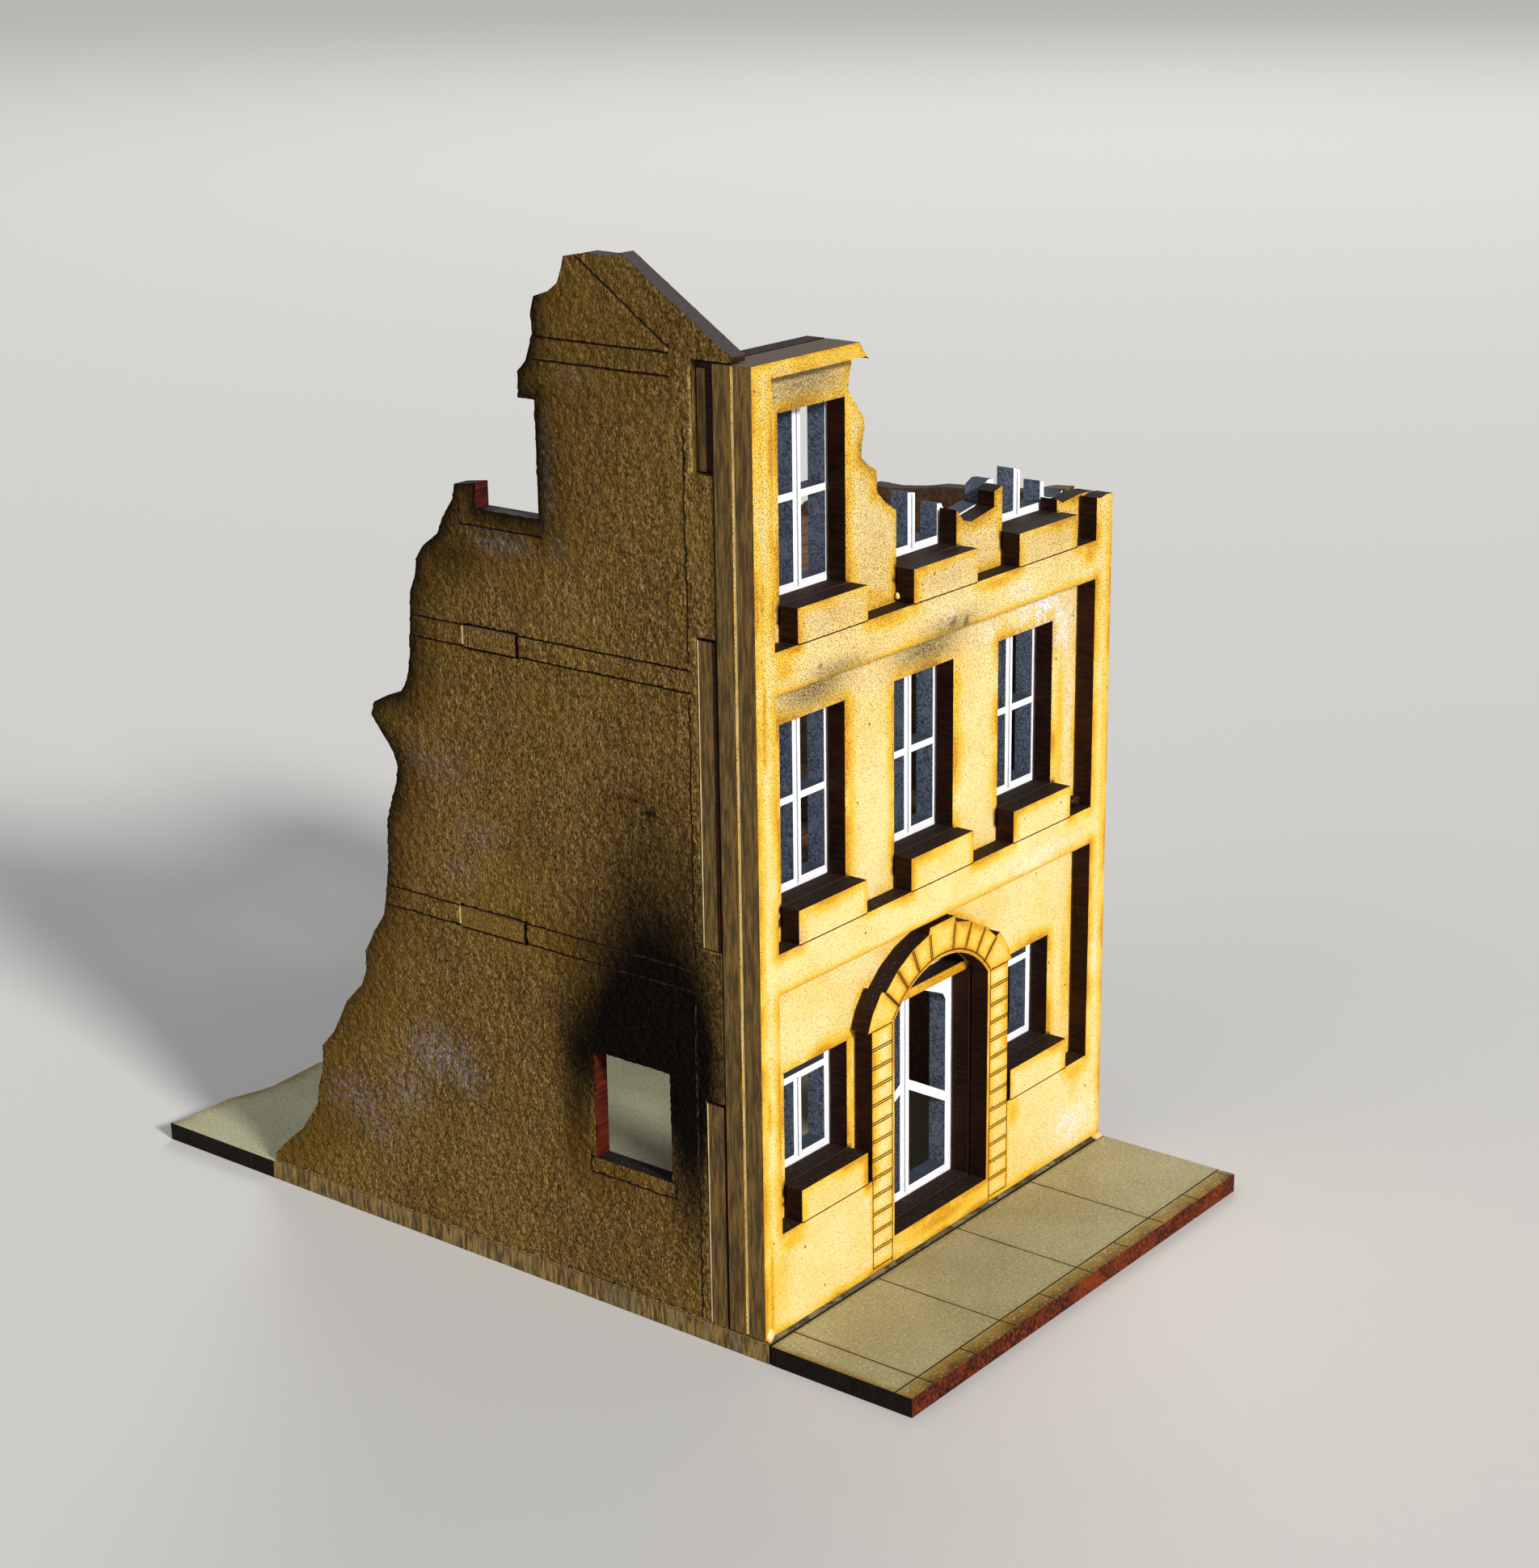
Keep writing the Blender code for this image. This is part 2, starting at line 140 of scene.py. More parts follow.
def fill(border, grooves, groove_width, pitch):
    """Triangulates a face so that grooves and borders keep their exact lines."""
    points, index, edges = [], {}, []

    def corner(point):
        key = (round(point[0], 4), round(point[1], 4))
        if key not in index:
            index[key] = len(points)
            points.append(key)
        return index[key]

    def constrain(start, end):
        chain = [corner(p) for p in chopped(start, end, pitch)]
        edges.extend((a, b) for a, b in zip(chain, chain[1:]) if a != b)

    for start, end in border:
        constrain(start, end)
    for start, end in grooves:
        start, end = np.array(start, float), np.array(end, float)
        along = (end - start) / np.linalg.norm(end - start)
        side = np.array((-along[1], along[0])) * groove_width / 2
        constrain(start, end)
        constrain(start + side, end + side)
        constrain(start - side, end - side)
    low, high = border.reshape(-1, 2).min(0), border.reshape(-1, 2).max(0)
    rng = np.random.default_rng(GRID_SEED)
    across = np.arange(low[0] + pitch / 2, high[0], pitch)
    along = np.arange(low[1] + pitch / 2, high[1], pitch)
    grid = np.stack(np.meshgrid(across, along), -1).reshape(-1, 2)
    grid += rng.uniform(-JITTER, JITTER, grid.shape) * pitch
    grid = grid[inside(grid, border)]
    grid = grid[distance(grid, list(border) + list(grooves)) > CLEARANCE * pitch]
    points.extend(tuple(p) for p in grid)
    flat, _, faces, *_ = delaunay_2d_cdt([Vector(p) for p in points], edges, [], 0, 1e-5)
    flat = np.array([tuple(p) for p in flat])
    faces = np.array([f for f in faces if len(f) == 3])
    middles = flat[faces].mean(1)
    return flat, faces[inside(middles, border)]


def add_piece(name, data):
    """An object of the model, on its one body."""
    piece = bpy.data.objects.new(name, data)
    bpy.context.scene.collection.objects.link(piece)
    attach(piece, "root")
    return piece


def used_only(flat, faces):
    """Drops the points that no face uses."""
    used = np.unique(faces)
    renumber = np.full(len(flat), -1)
    renumber[used] = np.arange(len(used))
    return flat[used], renumber[faces]


def rim_edges(faces):
    """Edges with a face on one side only, each in that face's direction."""
    pairs = {}
    for face in faces:
        for a, b in zip(face, np.roll(face, -1)):
            pairs.setdefault((min(a, b), max(a, b)), []).append((a, b))
    return [ways[0] for ways in pairs.values() if len(ways) == 1]


def sheet(node, axis, front, pitch, slots, paint, grooves=(), relief=None, edge_slot=None,
          groove_width=0.26, groove_depth=0.2, rows=(0.3, 1.5, 2.7), face_slot=None):
    """Builds the detailed sheet that stands for a CAD node.

    axis, front: the axis that the sheet faces along, and which way, -1 or 1.
    pitch: size of the face's triangles, in mm.
    slots: materials for face, edge, back and groove, then any extra edges.
    paint: masks by name, each a function of the face's points and border.
    relief: how far the face sinks below its flat, in mm, at each point.
    edge_slot: which material an edge face takes, from its middle and row.
    rows: depths at which the edge is divided, in mm.
    face_slot: which material a face takes, from its middle.
    """
    border, level, far = face_outline(node, axis, front)
    flat, faces = used_only(*fill(border, grooves, groove_width, pitch))
    count = len(flat)
    inward = 1.0 if far > level else -1.0
    rim = rim_edges(faces)
    rim_points = sorted({i for edge in rim for i in edge})

    sink = np.maximum(0, 1 - distance(flat, grooves) / (groove_width / 2)) * groove_depth
    sink[rim_points] = np.maximum(sink[rim_points], CHAMFER)
    if relief is not None:
        sink = sink + relief(flat, border)
    back_sink = np.zeros(count)
    back_sink[rim_points] = CHAMFER

    # The points are the front, then the back, then one block for each row.
    face_block, back_block = slice(0, count), slice(count, 2 * count)
    row_blocks = [
        slice(start, start + len(rim_points))
        for start in (2 * count + number * len(rim_points) for number in range(len(rows)))]
    row_index = [{point: block.start + i for i, point in enumerate(rim_points)} for block in row_blocks]
    points = np.zeros((2 * count + len(rows) * len(rim_points), 3))
    keep = list(FLAT_AXES[axis])
    points[face_block, keep] = flat
    points[face_block, axis] = level + inward * sink
    points[back_block, keep] = flat
    points[back_block, axis] = far - inward * back_sink
    for block, depth in zip(row_blocks, rows):
        points[block, keep] = flat[rim_points]
        points[block, axis] = level + inward * depth

    polygons, materials = [], []
    middles = flat[faces].mean(1)
    in_groove = distance(middles, grooves) < groove_width / 2
    for face, cut, middle in zip(faces, in_groove, middles):
        polygons.append(tuple(int(i) for i in face))
        materials.append(GROOVE if cut else FACE if face_slot is None else face_slot(middle))
    for face in faces:
        polygons.append(tuple(int(i) + count for i in face[::-1]))
        materials.append(BACK)
    for a, b in rim:
        middle = (flat[a] + flat[b]) / 2
        chain_a = [a] + [index[a] for index in row_index] + [a + count]
        chain_b = [b] + [index[b] for index in row_index] + [b + count]
        for row in range(len(chain_a) - 1):
            corners = (chain_b[row], chain_a[row], chain_a[row + 1], chain_b[row + 1])
            polygons.append(tuple(int(corner) for corner in corners))
            materials.append(EDGE if edge_slot is None else edge_slot(middle, row))

    mesh = bpy.data.meshes.new(node + "_sheet")
    mesh.from_pydata([tuple(place(*p)) for p in points], [], polygons)
    mesh.polygons.foreach_set("material_index", materials)
    for material in slots:
        mesh.materials.append(material)
    work = bmesh.new()
    work.from_mesh(mesh)
    bmesh.ops.recalc_face_normals(work, faces=work.faces)
    work.to_mesh(mesh)
    work.free()
    for name, mask in paint.items():
        values = mask(flat, border)
        whole = np.zeros(len(points), np.float32)
        whole[face_block] = values
        whole[back_block] = values
        for block in row_blocks:
            whole[block] = values[rim_points]
        attribute = mesh.attributes.new(name, "FLOAT", "POINT")
        attribute.data.foreach_set("value", whole)
    mesh.shade_smooth()
    mesh.set_sharp_from_angle(angle=SMOOTH_ANGLE)
    piece = add_piece(node + "_detailed", mesh)
    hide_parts(node)


# --------------------------------------
# Masks painted on the sheets.
# --------------------------------------
def wander(points, size, seed, octaves=3):
    """Smooth noise from about -1 to 1 over a face, size in mm."""
    shift = Vector((seed * 17.3, seed * 5.1, seed * 2.7))
    roughness, lacunarity = 1.0, 2.0
    return np.array([
        noise.fractal(Vector((p[0] / size, p[1] / size, 0)) + shift, roughness, lacunarity, octaves)
        for p in points])


def blots(points, spots):
    """Soft ellipses of stain: centre, radii and strength of each."""
    falloff = 1.3
    total = np.zeros(len(points))
    for x, y, rx, ry, strength in spots:
        reach = ((points[:, 0] - x) / rx) ** 2 + ((points[:, 1] - y) / ry) ** 2
        total = np.maximum(total, strength * np.exp(-falloff * reach))
    return total


def blotted(*spots):
    """A mask that is made of blots alone."""
    return lambda points, border: blots(points, spots)


def edge_stain(points, lines, width, seed, low=0.35, high=1.1):
    """A stain that fades over a width from some lines, low to high strong."""
    gap = distance(points, lines)
    uneven = np.clip(0.5 + 0.75 * wander(points, 7.0, seed), 0, 1)
    return np.clip(np.exp(-(gap / width) ** 1.3) * (low + (high - low) * uneven), 0, 1)


# --------------------------------------
# Materials.
# --------------------------------------
class Finish:
    """A Principled material built from noise, masks and colour mixes."""

    def __init__(self, name, roughness, specular=0.3):
        self.material = bpy.data.materials.new(name)
        self.material.use_nodes = True
        self.tree = self.material.node_tree
        self.shader = self.tree.nodes["Principled BSDF"]
        self.shader.inputs["Roughness"].default_value = roughness
        self.shader.inputs["Specular IOR Level"].default_value = specular
        self.where = self.tree.nodes.new("ShaderNodeTexCoord").outputs["Object"]

    def link(self, source, target):
        self.tree.links.new(source, target)

    def feed(self, value, socket):
        """Sets a socket to a number or colour, or links it to an output."""
        if isinstance(value, (int, float, tuple)):
            socket.default_value = value
        else:
            self.link(value, socket)

    def texture(self, kind, scale, location):
        """A texture laid over the object, scaled and shifted."""
        mapping = self.tree.nodes.new("ShaderNodeMapping")
        mapping.inputs["Scale"].default_value = scale
        mapping.inputs["Location"].default_value = location
        self.link(self.where, mapping.inputs["Vector"])
        texture = self.tree.nodes.new(kind)
        texture.inputs["Scale"].default_value = 1.0
        self.link(mapping.outputs["Vector"], texture.inputs["Vector"])
        return texture

    def noise(self, size, detail=3.0, stretch=(1, 1, 1), rough=0.55, shift=0.0):
        """Noise whose features are about size mm, drawn out along stretch."""
        texture = self.texture(
            "ShaderNodeTexNoise", [1 / (size * MM * s) for s in stretch], (shift, shift * 0.7, shift * 1.3))
        texture.inputs["Detail"].default_value = detail
        texture.inputs["Roughness"].default_value = rough
        return texture.outputs["Fac"]

    def dots(self, size, shift):
        """Distance to the middles of scattered cells of about size mm."""
        return self.texture("ShaderNodeTexVoronoi", [1 / (size * MM)] * 3, [shift] * 3).outputs["Distance"]

    def mask(self, name):
        """One of the sheet's painted masks."""
        attribute = self.tree.nodes.new("ShaderNodeAttribute")
        attribute.attribute_name = name
        return attribute.outputs["Fac"]

    def span(self, value, low, high, start=0.0, end=1.0):
        """Maps low..high to start..end and holds it there."""
        node = self.tree.nodes.new("ShaderNodeMapRange")
        node.clamp = True
        node.interpolation_type = "SMOOTHSTEP"
        for name, number in (("From Min", low), ("From Max", high), ("To Min", start), ("To Max", end)):
            node.inputs[name].default_value = number
        self.link(value, node.inputs["Value"])
        return node.outputs["Result"]

    def calculate(self, operation, first, second):
        node = self.tree.nodes.new("ShaderNodeMath")
        node.operation = operation
        self.feed(first, node.inputs[0])
        self.feed(second, node.inputs[1])
        return node.outputs[0]

    def times(self, first, second):
        return self.calculate("MULTIPLY", first, second)

    def plus(self, first, second):
        return self.calculate("ADD", first, second)

    def ragged(self, amount, *size_and_detail, **extras):
        """Noise about zero, for a ragged limit of a mask."""
        return self.times(self.calculate("SUBTRACT", self.noise(*size_and_detail, **extras), 0.5), amount)

    def blend(self, amount, first, second):
        """Mixes two colours, from the first at 0 to the second at 1."""
        node = self.tree.nodes.new("ShaderNodeMix")
        node.data_type = "RGBA"
        self.feed(amount, node.inputs["Factor"])
        self.feed(first, node.inputs[6])
        self.feed(second, node.inputs[7])
        return node.outputs[2]

    def up(self):
        """How far the surface faces up, 0 to 1."""
        geometry = self.tree.nodes.new("ShaderNodeNewGeometry")
        split = self.tree.nodes.new("ShaderNodeSeparateXYZ")
        self.link(geometry.outputs["Normal"], split.inputs[0])
        return split.outputs["Z"]

    def finish(self, colour, height=None, strength=0.4, depth=0.1):
        """Gives the shader its colour and a bump of some depth in mm."""
        self.link(colour, self.shader.inputs["Base Color"])
        if height is not None:
            bump = self.tree.nodes.new("ShaderNodeBump")
            bump.inputs["Strength"].default_value = strength
            bump.inputs["Distance"].default_value = depth * MM
            self.link(height, bump.inputs["Height"])
            self.link(bump.outputs["Normal"], self.shader.inputs["Normal"])
        return self.material


def facade_paint(name, pale, deep):
    """Cream paint, scorched orange at the cuts, with soot, specks and scuffs."""
    f = Finish(name, 0.6)
    mottle = f.span(f.noise(9, 4), 0.35, 0.68)
    colour = f.blend(mottle, pale, deep)
    ragged = f.ragged(0.5, 1.3, 4, rough=0.7, shift=9)
    scorch = f.plus(f.mask("scorch"), ragged)
    colour = f.blend(f.span(scorch, 0.10, 0.45, 0.0, 0.9), colour, rgb(244, 192, 44))
    colour = f.blend(f.span(scorch, 0.40, 0.88, 0.0, 0.95), colour, rgb(208, 144, 6))
    # The char mask: real dark chips on the overlay, and painted shade in the gaps on the wall.
    colour = f.blend(f.mask("char"), colour, rgb(58, 36, 22))
    grain = f.span(f.noise(0.3, 2, rough=0.8, shift=3), 0.38, 0.60, 0.4, 1.0)
    soot = f.times(f.mask("soot"), grain)
    colour = f.blend(f.times(soot, 0.9), colour, rgb(82, 70, 48))
    scuff = f.times(f.mask("scuff"), f.span(f.noise(1.5, 5, rough=0.8, shift=2), 0.43, 0.55))
    colour = f.blend(scuff, colour, rgb(243, 236, 234))
    density = f.mask("specks")
    spray = f.plus(f.noise(0.17, 0.5, shift=11), f.times(density, 0.08))
    colour = f.blend(f.span(spray, 0.635, 0.68, 0.0, 0.8), colour, rgb(80, 62, 34))
    flecks = f.span(f.dots(4.2, shift=31), 0.035, 0.06, 1.0, 0.0)
    colour = f.blend(f.times(flecks, 0.9), colour, rgb(52, 36, 22))
    height = f.plus(f.noise(0.5, 3, shift=7), f.times(f.noise(3.0, 2, shift=8), 0.8))
    return f.finish(colour, height, 0.3, 0.07)


def burnt_edge(name, dark, warm, stretch, top=None):
    """A laser-cut board edge: fine streaks through the sheet, dusty on top.

    top: the colour of the parts that face up, where they differ.
    """
    f = Finish(name, 0.7, 0.12)
    streaks = f.noise(0.4, 4, stretch=stretch)
    colour = f.blend(f.span(streaks, 0.38, 0.85), dark, warm)
    patches = f.span(f.noise(7, 3, shift=4), 0.45, 0.7)
    colour = f.blend(f.times(patches, 0.4), colour, warm)
    if top is not None:
        dust = f.span(f.up(), 0.25, 0.8)
        specks = f.span(f.noise(0.35, 3, rough=0.8, shift=6), 0.52, 0.70)
        dusty = f.blend(f.times(specks, 0.5), top, rgb(104, 94, 86))
        colour = f.blend(dust, colour, dusty)
    return f.finish(colour, streaks, 0.4, 0.1)


def white_joinery():
    """White gloss of the window bars, a little grimy."""
    f = Finish("white_joinery", 0.5)
    soft = f.span(f.noise(4, 3), 0.35, 0.7)
    colour = f.blend(f.times(soft, 0.5), rgb(250, 250, 252), rgb(232, 234, 240))
    grime = f.span(f.noise(0.8, 4, shift=2), 0.58, 0.74)
    colour = f.blend(f.times(grime, 0.3), colour, rgb(165, 168, 178))
    return f.finish(colour, f.noise(0.4, 3, shift=5), 0.2, 0.06)


def shaded_white_edge():
    """Cut sides of the window sheet: white paint over rough fibres, drawn grey-blue as painted shade."""
    f = Finish("white_cut_edge_painted_shade", 0.8)
    fibres = f.noise(0.32, 5, stretch=(1, 1.3, 1), rough=0.75)
    # Grey-blue in place of white: painted shade on the white-painted cut sides.
    colour = f.blend(f.span(fibres, 0.36, 0.66), rgb(56, 65, 84), rgb(138, 152, 174))
    washes = f.span(f.noise(2.4, 3, shift=9), 0.5, 0.66)
    colour = f.blend(f.times(washes, 0.35), colour, rgb(150, 166, 188))
    tops = f.span(f.up(), 0.3, 0.8)
    colour = f.blend(f.times(tops, 0.8), colour, rgb(58, 66, 80))
    return f.finish(colour, fibres, 0.9, 0.14)


def stucco(name):
    """Ochre textured paint with soot, blue-grey dry brushing and scratches; darker than the facade's cream
    partly as painted shade of the side walls.
    """
    f = Finish(name, 0.8, 0.04)
    broad = f.span(f.noise(16, 4), 0.35, 0.68)
    # The darker ochre is partly painted shade of the side walls.
    colour = f.blend(broad, rgb(128, 98, 48), rgb(144, 112, 58))
    grain = f.noise(0.34, 1.5, stretch=(1, 0.9, 1.4), rough=0.5, shift=3)
    # Painted highlight on the grains' crests and painted shade in their pits.
    colour = f.blend(f.span(grain, 0.52, 0.68, 0.0, 0.5), colour, rgb(198, 164, 104))
    colour = f.blend(f.span(grain, 0.32, 0.46, 0.75, 0.0), colour, rgb(50, 35, 12))
    warm = f.span(f.noise(22, 3, shift=21), 0.5, 0.72)
    colour = f.blend(f.times(warm, 0.35), colour, rgb(156, 122, 44))
    burn = f.plus(f.mask("burn"), f.ragged(0.25, 2.2, 4, shift=24))
    colour = f.blend(f.span(burn, 0.05, 0.5, 0.0, 0.6), colour, rgb(118, 86, 30))
    # The ridge mask: glue lines drawn pale as painted highlights of lit edges.
    colour = f.blend(f.mask("ridge"), colour, rgb(228, 190, 112))
    brushed = f.times(f.mask("brushed"), f.span(f.noise(1.0, 5, rough=0.85, shift=14), 0.46, 0.58))
    colour = f.blend(f.times(brushed, 0.8), colour, rgb(158, 158, 172))
    soot = f.times(f.mask("soot"), f.span(f.noise(0.5, 3, shift=16), 0.3, 0.66, 1.0, 0.975))
    colour = f.blend(soot, colour, rgb(9, 7, 5))
    height = f.plus(grain, f.times(f.noise(1.0, 2, stretch=(1, 0.8, 1.3), shift=5), 0.5))
    return f.finish(colour, height, 1.0, 1.3)


def combed_paint(name, first, second, stretch, grey):
    """Paint dragged along a sheet's edge, streaky."""
    f = Finish(name, 0.65)
    streaks = f.noise(0.5, 5, stretch=stretch, rough=0.65)
    colour = f.blend(f.span(streaks, 0.39, 0.63), first, second)
    washes = f.span(f.noise(1.6, 4, stretch=stretch, shift=8), 0.48, 0.66)
    colour = f.blend(f.times(washes, grey), colour, rgb(108, 110, 92))
    height = f.plus(streaks, f.noise(0.7, 3, shift=2))
    return f.finish(colour, height, 0.8, 0.16)


def ground_paint(name, pale, deep, stain, deep_stain):
    """Flat olive-beige paint with clouds, an ochre stain mask and fine dirt."""
    f = Finish(name, 0.7)
    colour = f.blend(f.span(f.noise(16, 4), 0.35, 0.7), pale, deep)
    ochre = f.plus(f.mask("scorch"), f.ragged(0.3, 2.5, 3, shift=4))
    colour = f.blend(f.span(ochre, 0.06, 0.6, 0.0, 0.9), colour, stain)
    colour = f.blend(f.span(ochre, 0.55, 1.05, 0.0, 0.9), colour, deep_stain)
    colour = f.blend(f.mask("grime"), colour, rgb(66, 56, 34))
    dirt = f.span(f.dots(1.7, shift=3), 0.05, 0.09, 1.0, 0.0)
    rare = f.span(f.noise(3, 2, shift=17), 0.55, 0.62)
    colour = f.blend(f.times(f.times(dirt, rare), 0.55), colour, rgb(80, 70, 42))
    dust = f.noise(0.42, 2, rough=0.7, shift=27)
    colour = f.blend(f.span(dust, 0.56, 0.70, 0.0, 0.5), colour, rgb(226, 220, 186))
    colour = f.blend(f.span(dust, 0.32, 0.44, 0.5, 0.0), colour, rgb(96, 88, 54))
    height = f.plus(f.noise(0.6, 3), f.span(f.dots(4.0, shift=9), 0.03, 0.09, 1.2, 0.0))
    return f.finish(colour, height, 0.25, 0.08)


def raw_board(name, dark, warm):
    """Unpainted fibreboard, with smoky clouds."""
    f = Finish(name, 0.8)
    fibres = f.noise(0.8, 5, stretch=(2.5, 1, 1), rough=0.7)
    colour = f.blend(f.span(fibres, 0.35, 0.7), dark, warm)
    smoke = f.span(f.noise(12, 3, shift=5), 0.45, 0.7)
    colour = f.blend(f.times(smoke, 0.55), colour, rgb(34, 22, 16))
    return f.finish(colour, fibres, 0.35, 0.08)


def mottled(name, colour, other, roughness=0.8):
    """Two near colours, for engraved lines and small lumps."""
    f = Finish(name, roughness)
    return f.finish(f.blend(f.span(f.noise(0.6, 3), 0.35, 0.7), colour, other))


ALONG_X, ALONG_Y, ALONG_Z = (9, 1, 1), (1, 7, 1), (1, 1, 9)
CREAM = facade_paint("cream_paint", rgb(252, 220, 150), rgb(249, 209, 124))
LINE = mottled("engraved_line", rgb(92, 58, 18), rgb(60, 36, 12))
DARK_LINE = mottled("engraved_line_dark", rgb(50, 34, 16), rgb(34, 22, 10))
CHAR_DARK, CHAR_WARM = rgb(26, 11, 6), rgb(66, 30, 11)
TOP_DARK = rgb(39, 25, 18)
FACADE_EDGE = burnt_edge("burnt_edge_facade", CHAR_DARK, CHAR_WARM, ALONG_Y, TOP_DARK)
CORNICE = burnt_edge("burnt_edge_cornice", CHAR_DARK, CHAR_WARM, ALONG_Y, rgb(98, 86, 74))
SIDE_EDGE = burnt_edge(
    "burnt_edge_side", rgb(30, 16, 10), rgb(76, 44, 24), ALONG_X, rgb(66, 61, 62))
RUST = burnt_edge("rusty_edge_side", rgb(52, 15, 7), rgb(112, 40, 18), ALONG_X, rgb(34, 30, 30))
PLATE_EDGE = burnt_edge("burnt_edge_plate", rgb(14, 10, 9), rgb(36, 22, 14), ALONG_Z)
KERB_EDGE = burnt_edge("rusty_kerb_edge", rgb(40, 14, 6), rgb(150, 62, 20), (1, 1, 1.4))
COMBED = combed_paint("combed_ochre_edge", rgb(74, 55, 20), rgb(128, 97, 40), ALONG_Z, 0.05)
COMBED_BASE = combed_paint("combed_base_edge", rgb(78, 58, 24), rgb(160, 128, 68), (1, 1.2, 7), 0.3)
WHITE = white_joinery()
SHADED_WHITE_EDGE = shaded_white_edge()
WHITE_LINE = mottled("joinery_line", rgb(170, 174, 184), rgb(146, 150, 162))
WHITE_BACK = raw_board("window_sheet_back", rgb(92, 62, 40), rgb(128, 92, 60))
STUCCO_WITH_SHADE = stucco("ochre_stucco")
INNER = raw_board("inner_board", rgb(74, 48, 32), rgb(112, 78, 52))
GROUND = ground_paint(
    "ground_paint", rgb(172, 170, 134), rgb(184, 182, 148), rgb(140, 116, 52), rgb(80, 58, 26))
PAVING = ground_paint(
    "paving_paint", rgb(162, 154, 112), rgb(176, 168, 128), rgb(142, 110, 20), rgb(78, 48, 10))
UNDERSIDE = raw_board("underside", rgb(110, 80, 52), rgb(140, 106, 72))
BOARDS = raw_board("floor_boards", rgb(96, 68, 50), rgb(134, 98, 72))


def glue():
    """Dried glue, pale and glossy; its base is paler still as a painted highlight where the beads catch the
    light.
    """
    f = Finish("dried_glue_painted_highlight", 0.35, 0.5)
    # These pale glue colours are partly a painted highlight.
    colour = f.blend(f.span(f.noise(2, 3), 0.35, 0.7), rgb(253, 234, 176), rgb(226, 190, 118))
    return f.finish(colour, f.noise(0.6, 2), 0.2, 0.05)


GLUE = glue()
DARK_GLUE = mottled("charred_glue", rgb(40, 22, 12), rgb(70, 40, 20), 0.25)


# --------------------------------------
# The facade's measures and engraved lines, in mm.
# --------------------------------------
PILASTER = 4.0
PANEL_RIGHT = WIDTH - 4.3
SILL_HALF, SILL_HEIGHT = 7.55, 4.8
CENTRES = (15.95, 41.4, 66.8)
TOP_CENTRES = (16.35, 41.9, 67.4)
PLINTH, BAND_1, BAND_2 = 14.8, 55.3, 96.3
SILLS = [(centre, BAND_2) for centre in TOP_CENTRES]
SILLS += [(centre, BAND_1) for centre in CENTRES] + [(centre, PLINTH) for centre in CENTRES[::2]]
DOOR, JAMB_OUT, JAMB_IN, DOOR_HALF = 41.4, 16.85, 12.2, 11.6
JAMB_BLOCKS, JAMB_LOW = 13, 1.1
SPRING, RISE = 37.4, 5.9
ARCH_STEPS = 8
ARCH_R = (DOOR_HALF ** 2 + RISE ** 2) / (2 * RISE)
ARCH_Z = SPRING + RISE - ARCH_R


def line_chain(points):
    """The lines that join some points in turn."""
    return list(zip(points, points[1:]))


def overlay_lines():
    """Joints of the sills, the door jambs and the arch stones."""
    lines = [((centre - SILL_HALF, foot), (centre + SILL_HALF, foot)) for centre, foot in SILLS]
    surround = []
    pitch = (SPRING - JAMB_LOW) / JAMB_BLOCKS
    for side in (-1, 1):
        wide, narrow = DOOR + side * JAMB_OUT, DOOR + side * JAMB_IN
        for number in range(JAMB_BLOCKS + 1):
            height = JAMB_LOW + number * pitch
            for offset in ((-0.17, 0.17) if 0 < number < JAMB_BLOCKS else (0,)):
                surround.append(((wide, height + offset), (narrow, height + offset)))
        surround.append(((wide, JAMB_LOW), (wide, PLINTH)))
        surround.append(((narrow, 0.35), (narrow, SPRING)))
        # The arch: an inner margin line and pairs of lines between stones.
        margin = []
        radius = ARCH_R + 0.55
        for step in range(ARCH_STEPS + 1):
            angle = math.asin(DOOR_HALF / ARCH_R) * step / ARCH_STEPS
            margin.append((DOOR + side * radius * math.sin(angle), ARCH_Z + radius * math.cos(angle)))
        surround += line_chain(margin)
        for (x0, z0), (x1, z1) in (
            ((13.55, 42.1), (10.5, 39.2)), ((10.8, 44.5), (8.4, 41.2)),
            ((7.25, 46.4), (5.6, 42.6)), ((3.1, 47.5), (2.6, 43.7)),
        ):
            for offset in (-0.16, 0.16):
                surround.append(((DOOR + side * (x0 + offset), z0), (DOOR + side * (x1 + offset), z1)))
    return lines + surround, surround


def window_lines():
    """A fine line down the middle of each mullion."""
    left, middle, right = TOP_CENTRES
    mullions = [(centre + 0.7, 60.4, 84.6) for centre in CENTRES]
    mullions += [(left + 1.0, 101.4, 125.4), (middle + 1.0, 101.4, 108.9), (right + 1.5, 101.4, 107.7)]
    mullions += [(centre + 0.1, 20.0, 32.0) for centre in CENTRES[::2]]
    mullions += [(DOOR, 4.6, 37.2)]
    return [((x, foot), (x, top)) for x, foot, top in mullions]


WALL_FRONT = 11.3     # the line engraved beside a side wall's fingers


def wall_lines():
    """Floor bands of a side wall, in front of the floor tabs and behind them."""
    lines = []
    lower_tab, upper_tab = (41.7, 54.3), (41.2, 51.3)
    for z, tab, end in (
        (48.6, lower_tab, 68.6), (51.6, lower_tab, 68.4), (90.0, upper_tab, 61.3), (93.0, upper_tab, 61.2),
    ):
        lines.append(((WALL_FRONT, z), (tab[0] - 0.3, z)))
        lines.append(((tab[1] + 0.3, z), (end, z)))
    return lines


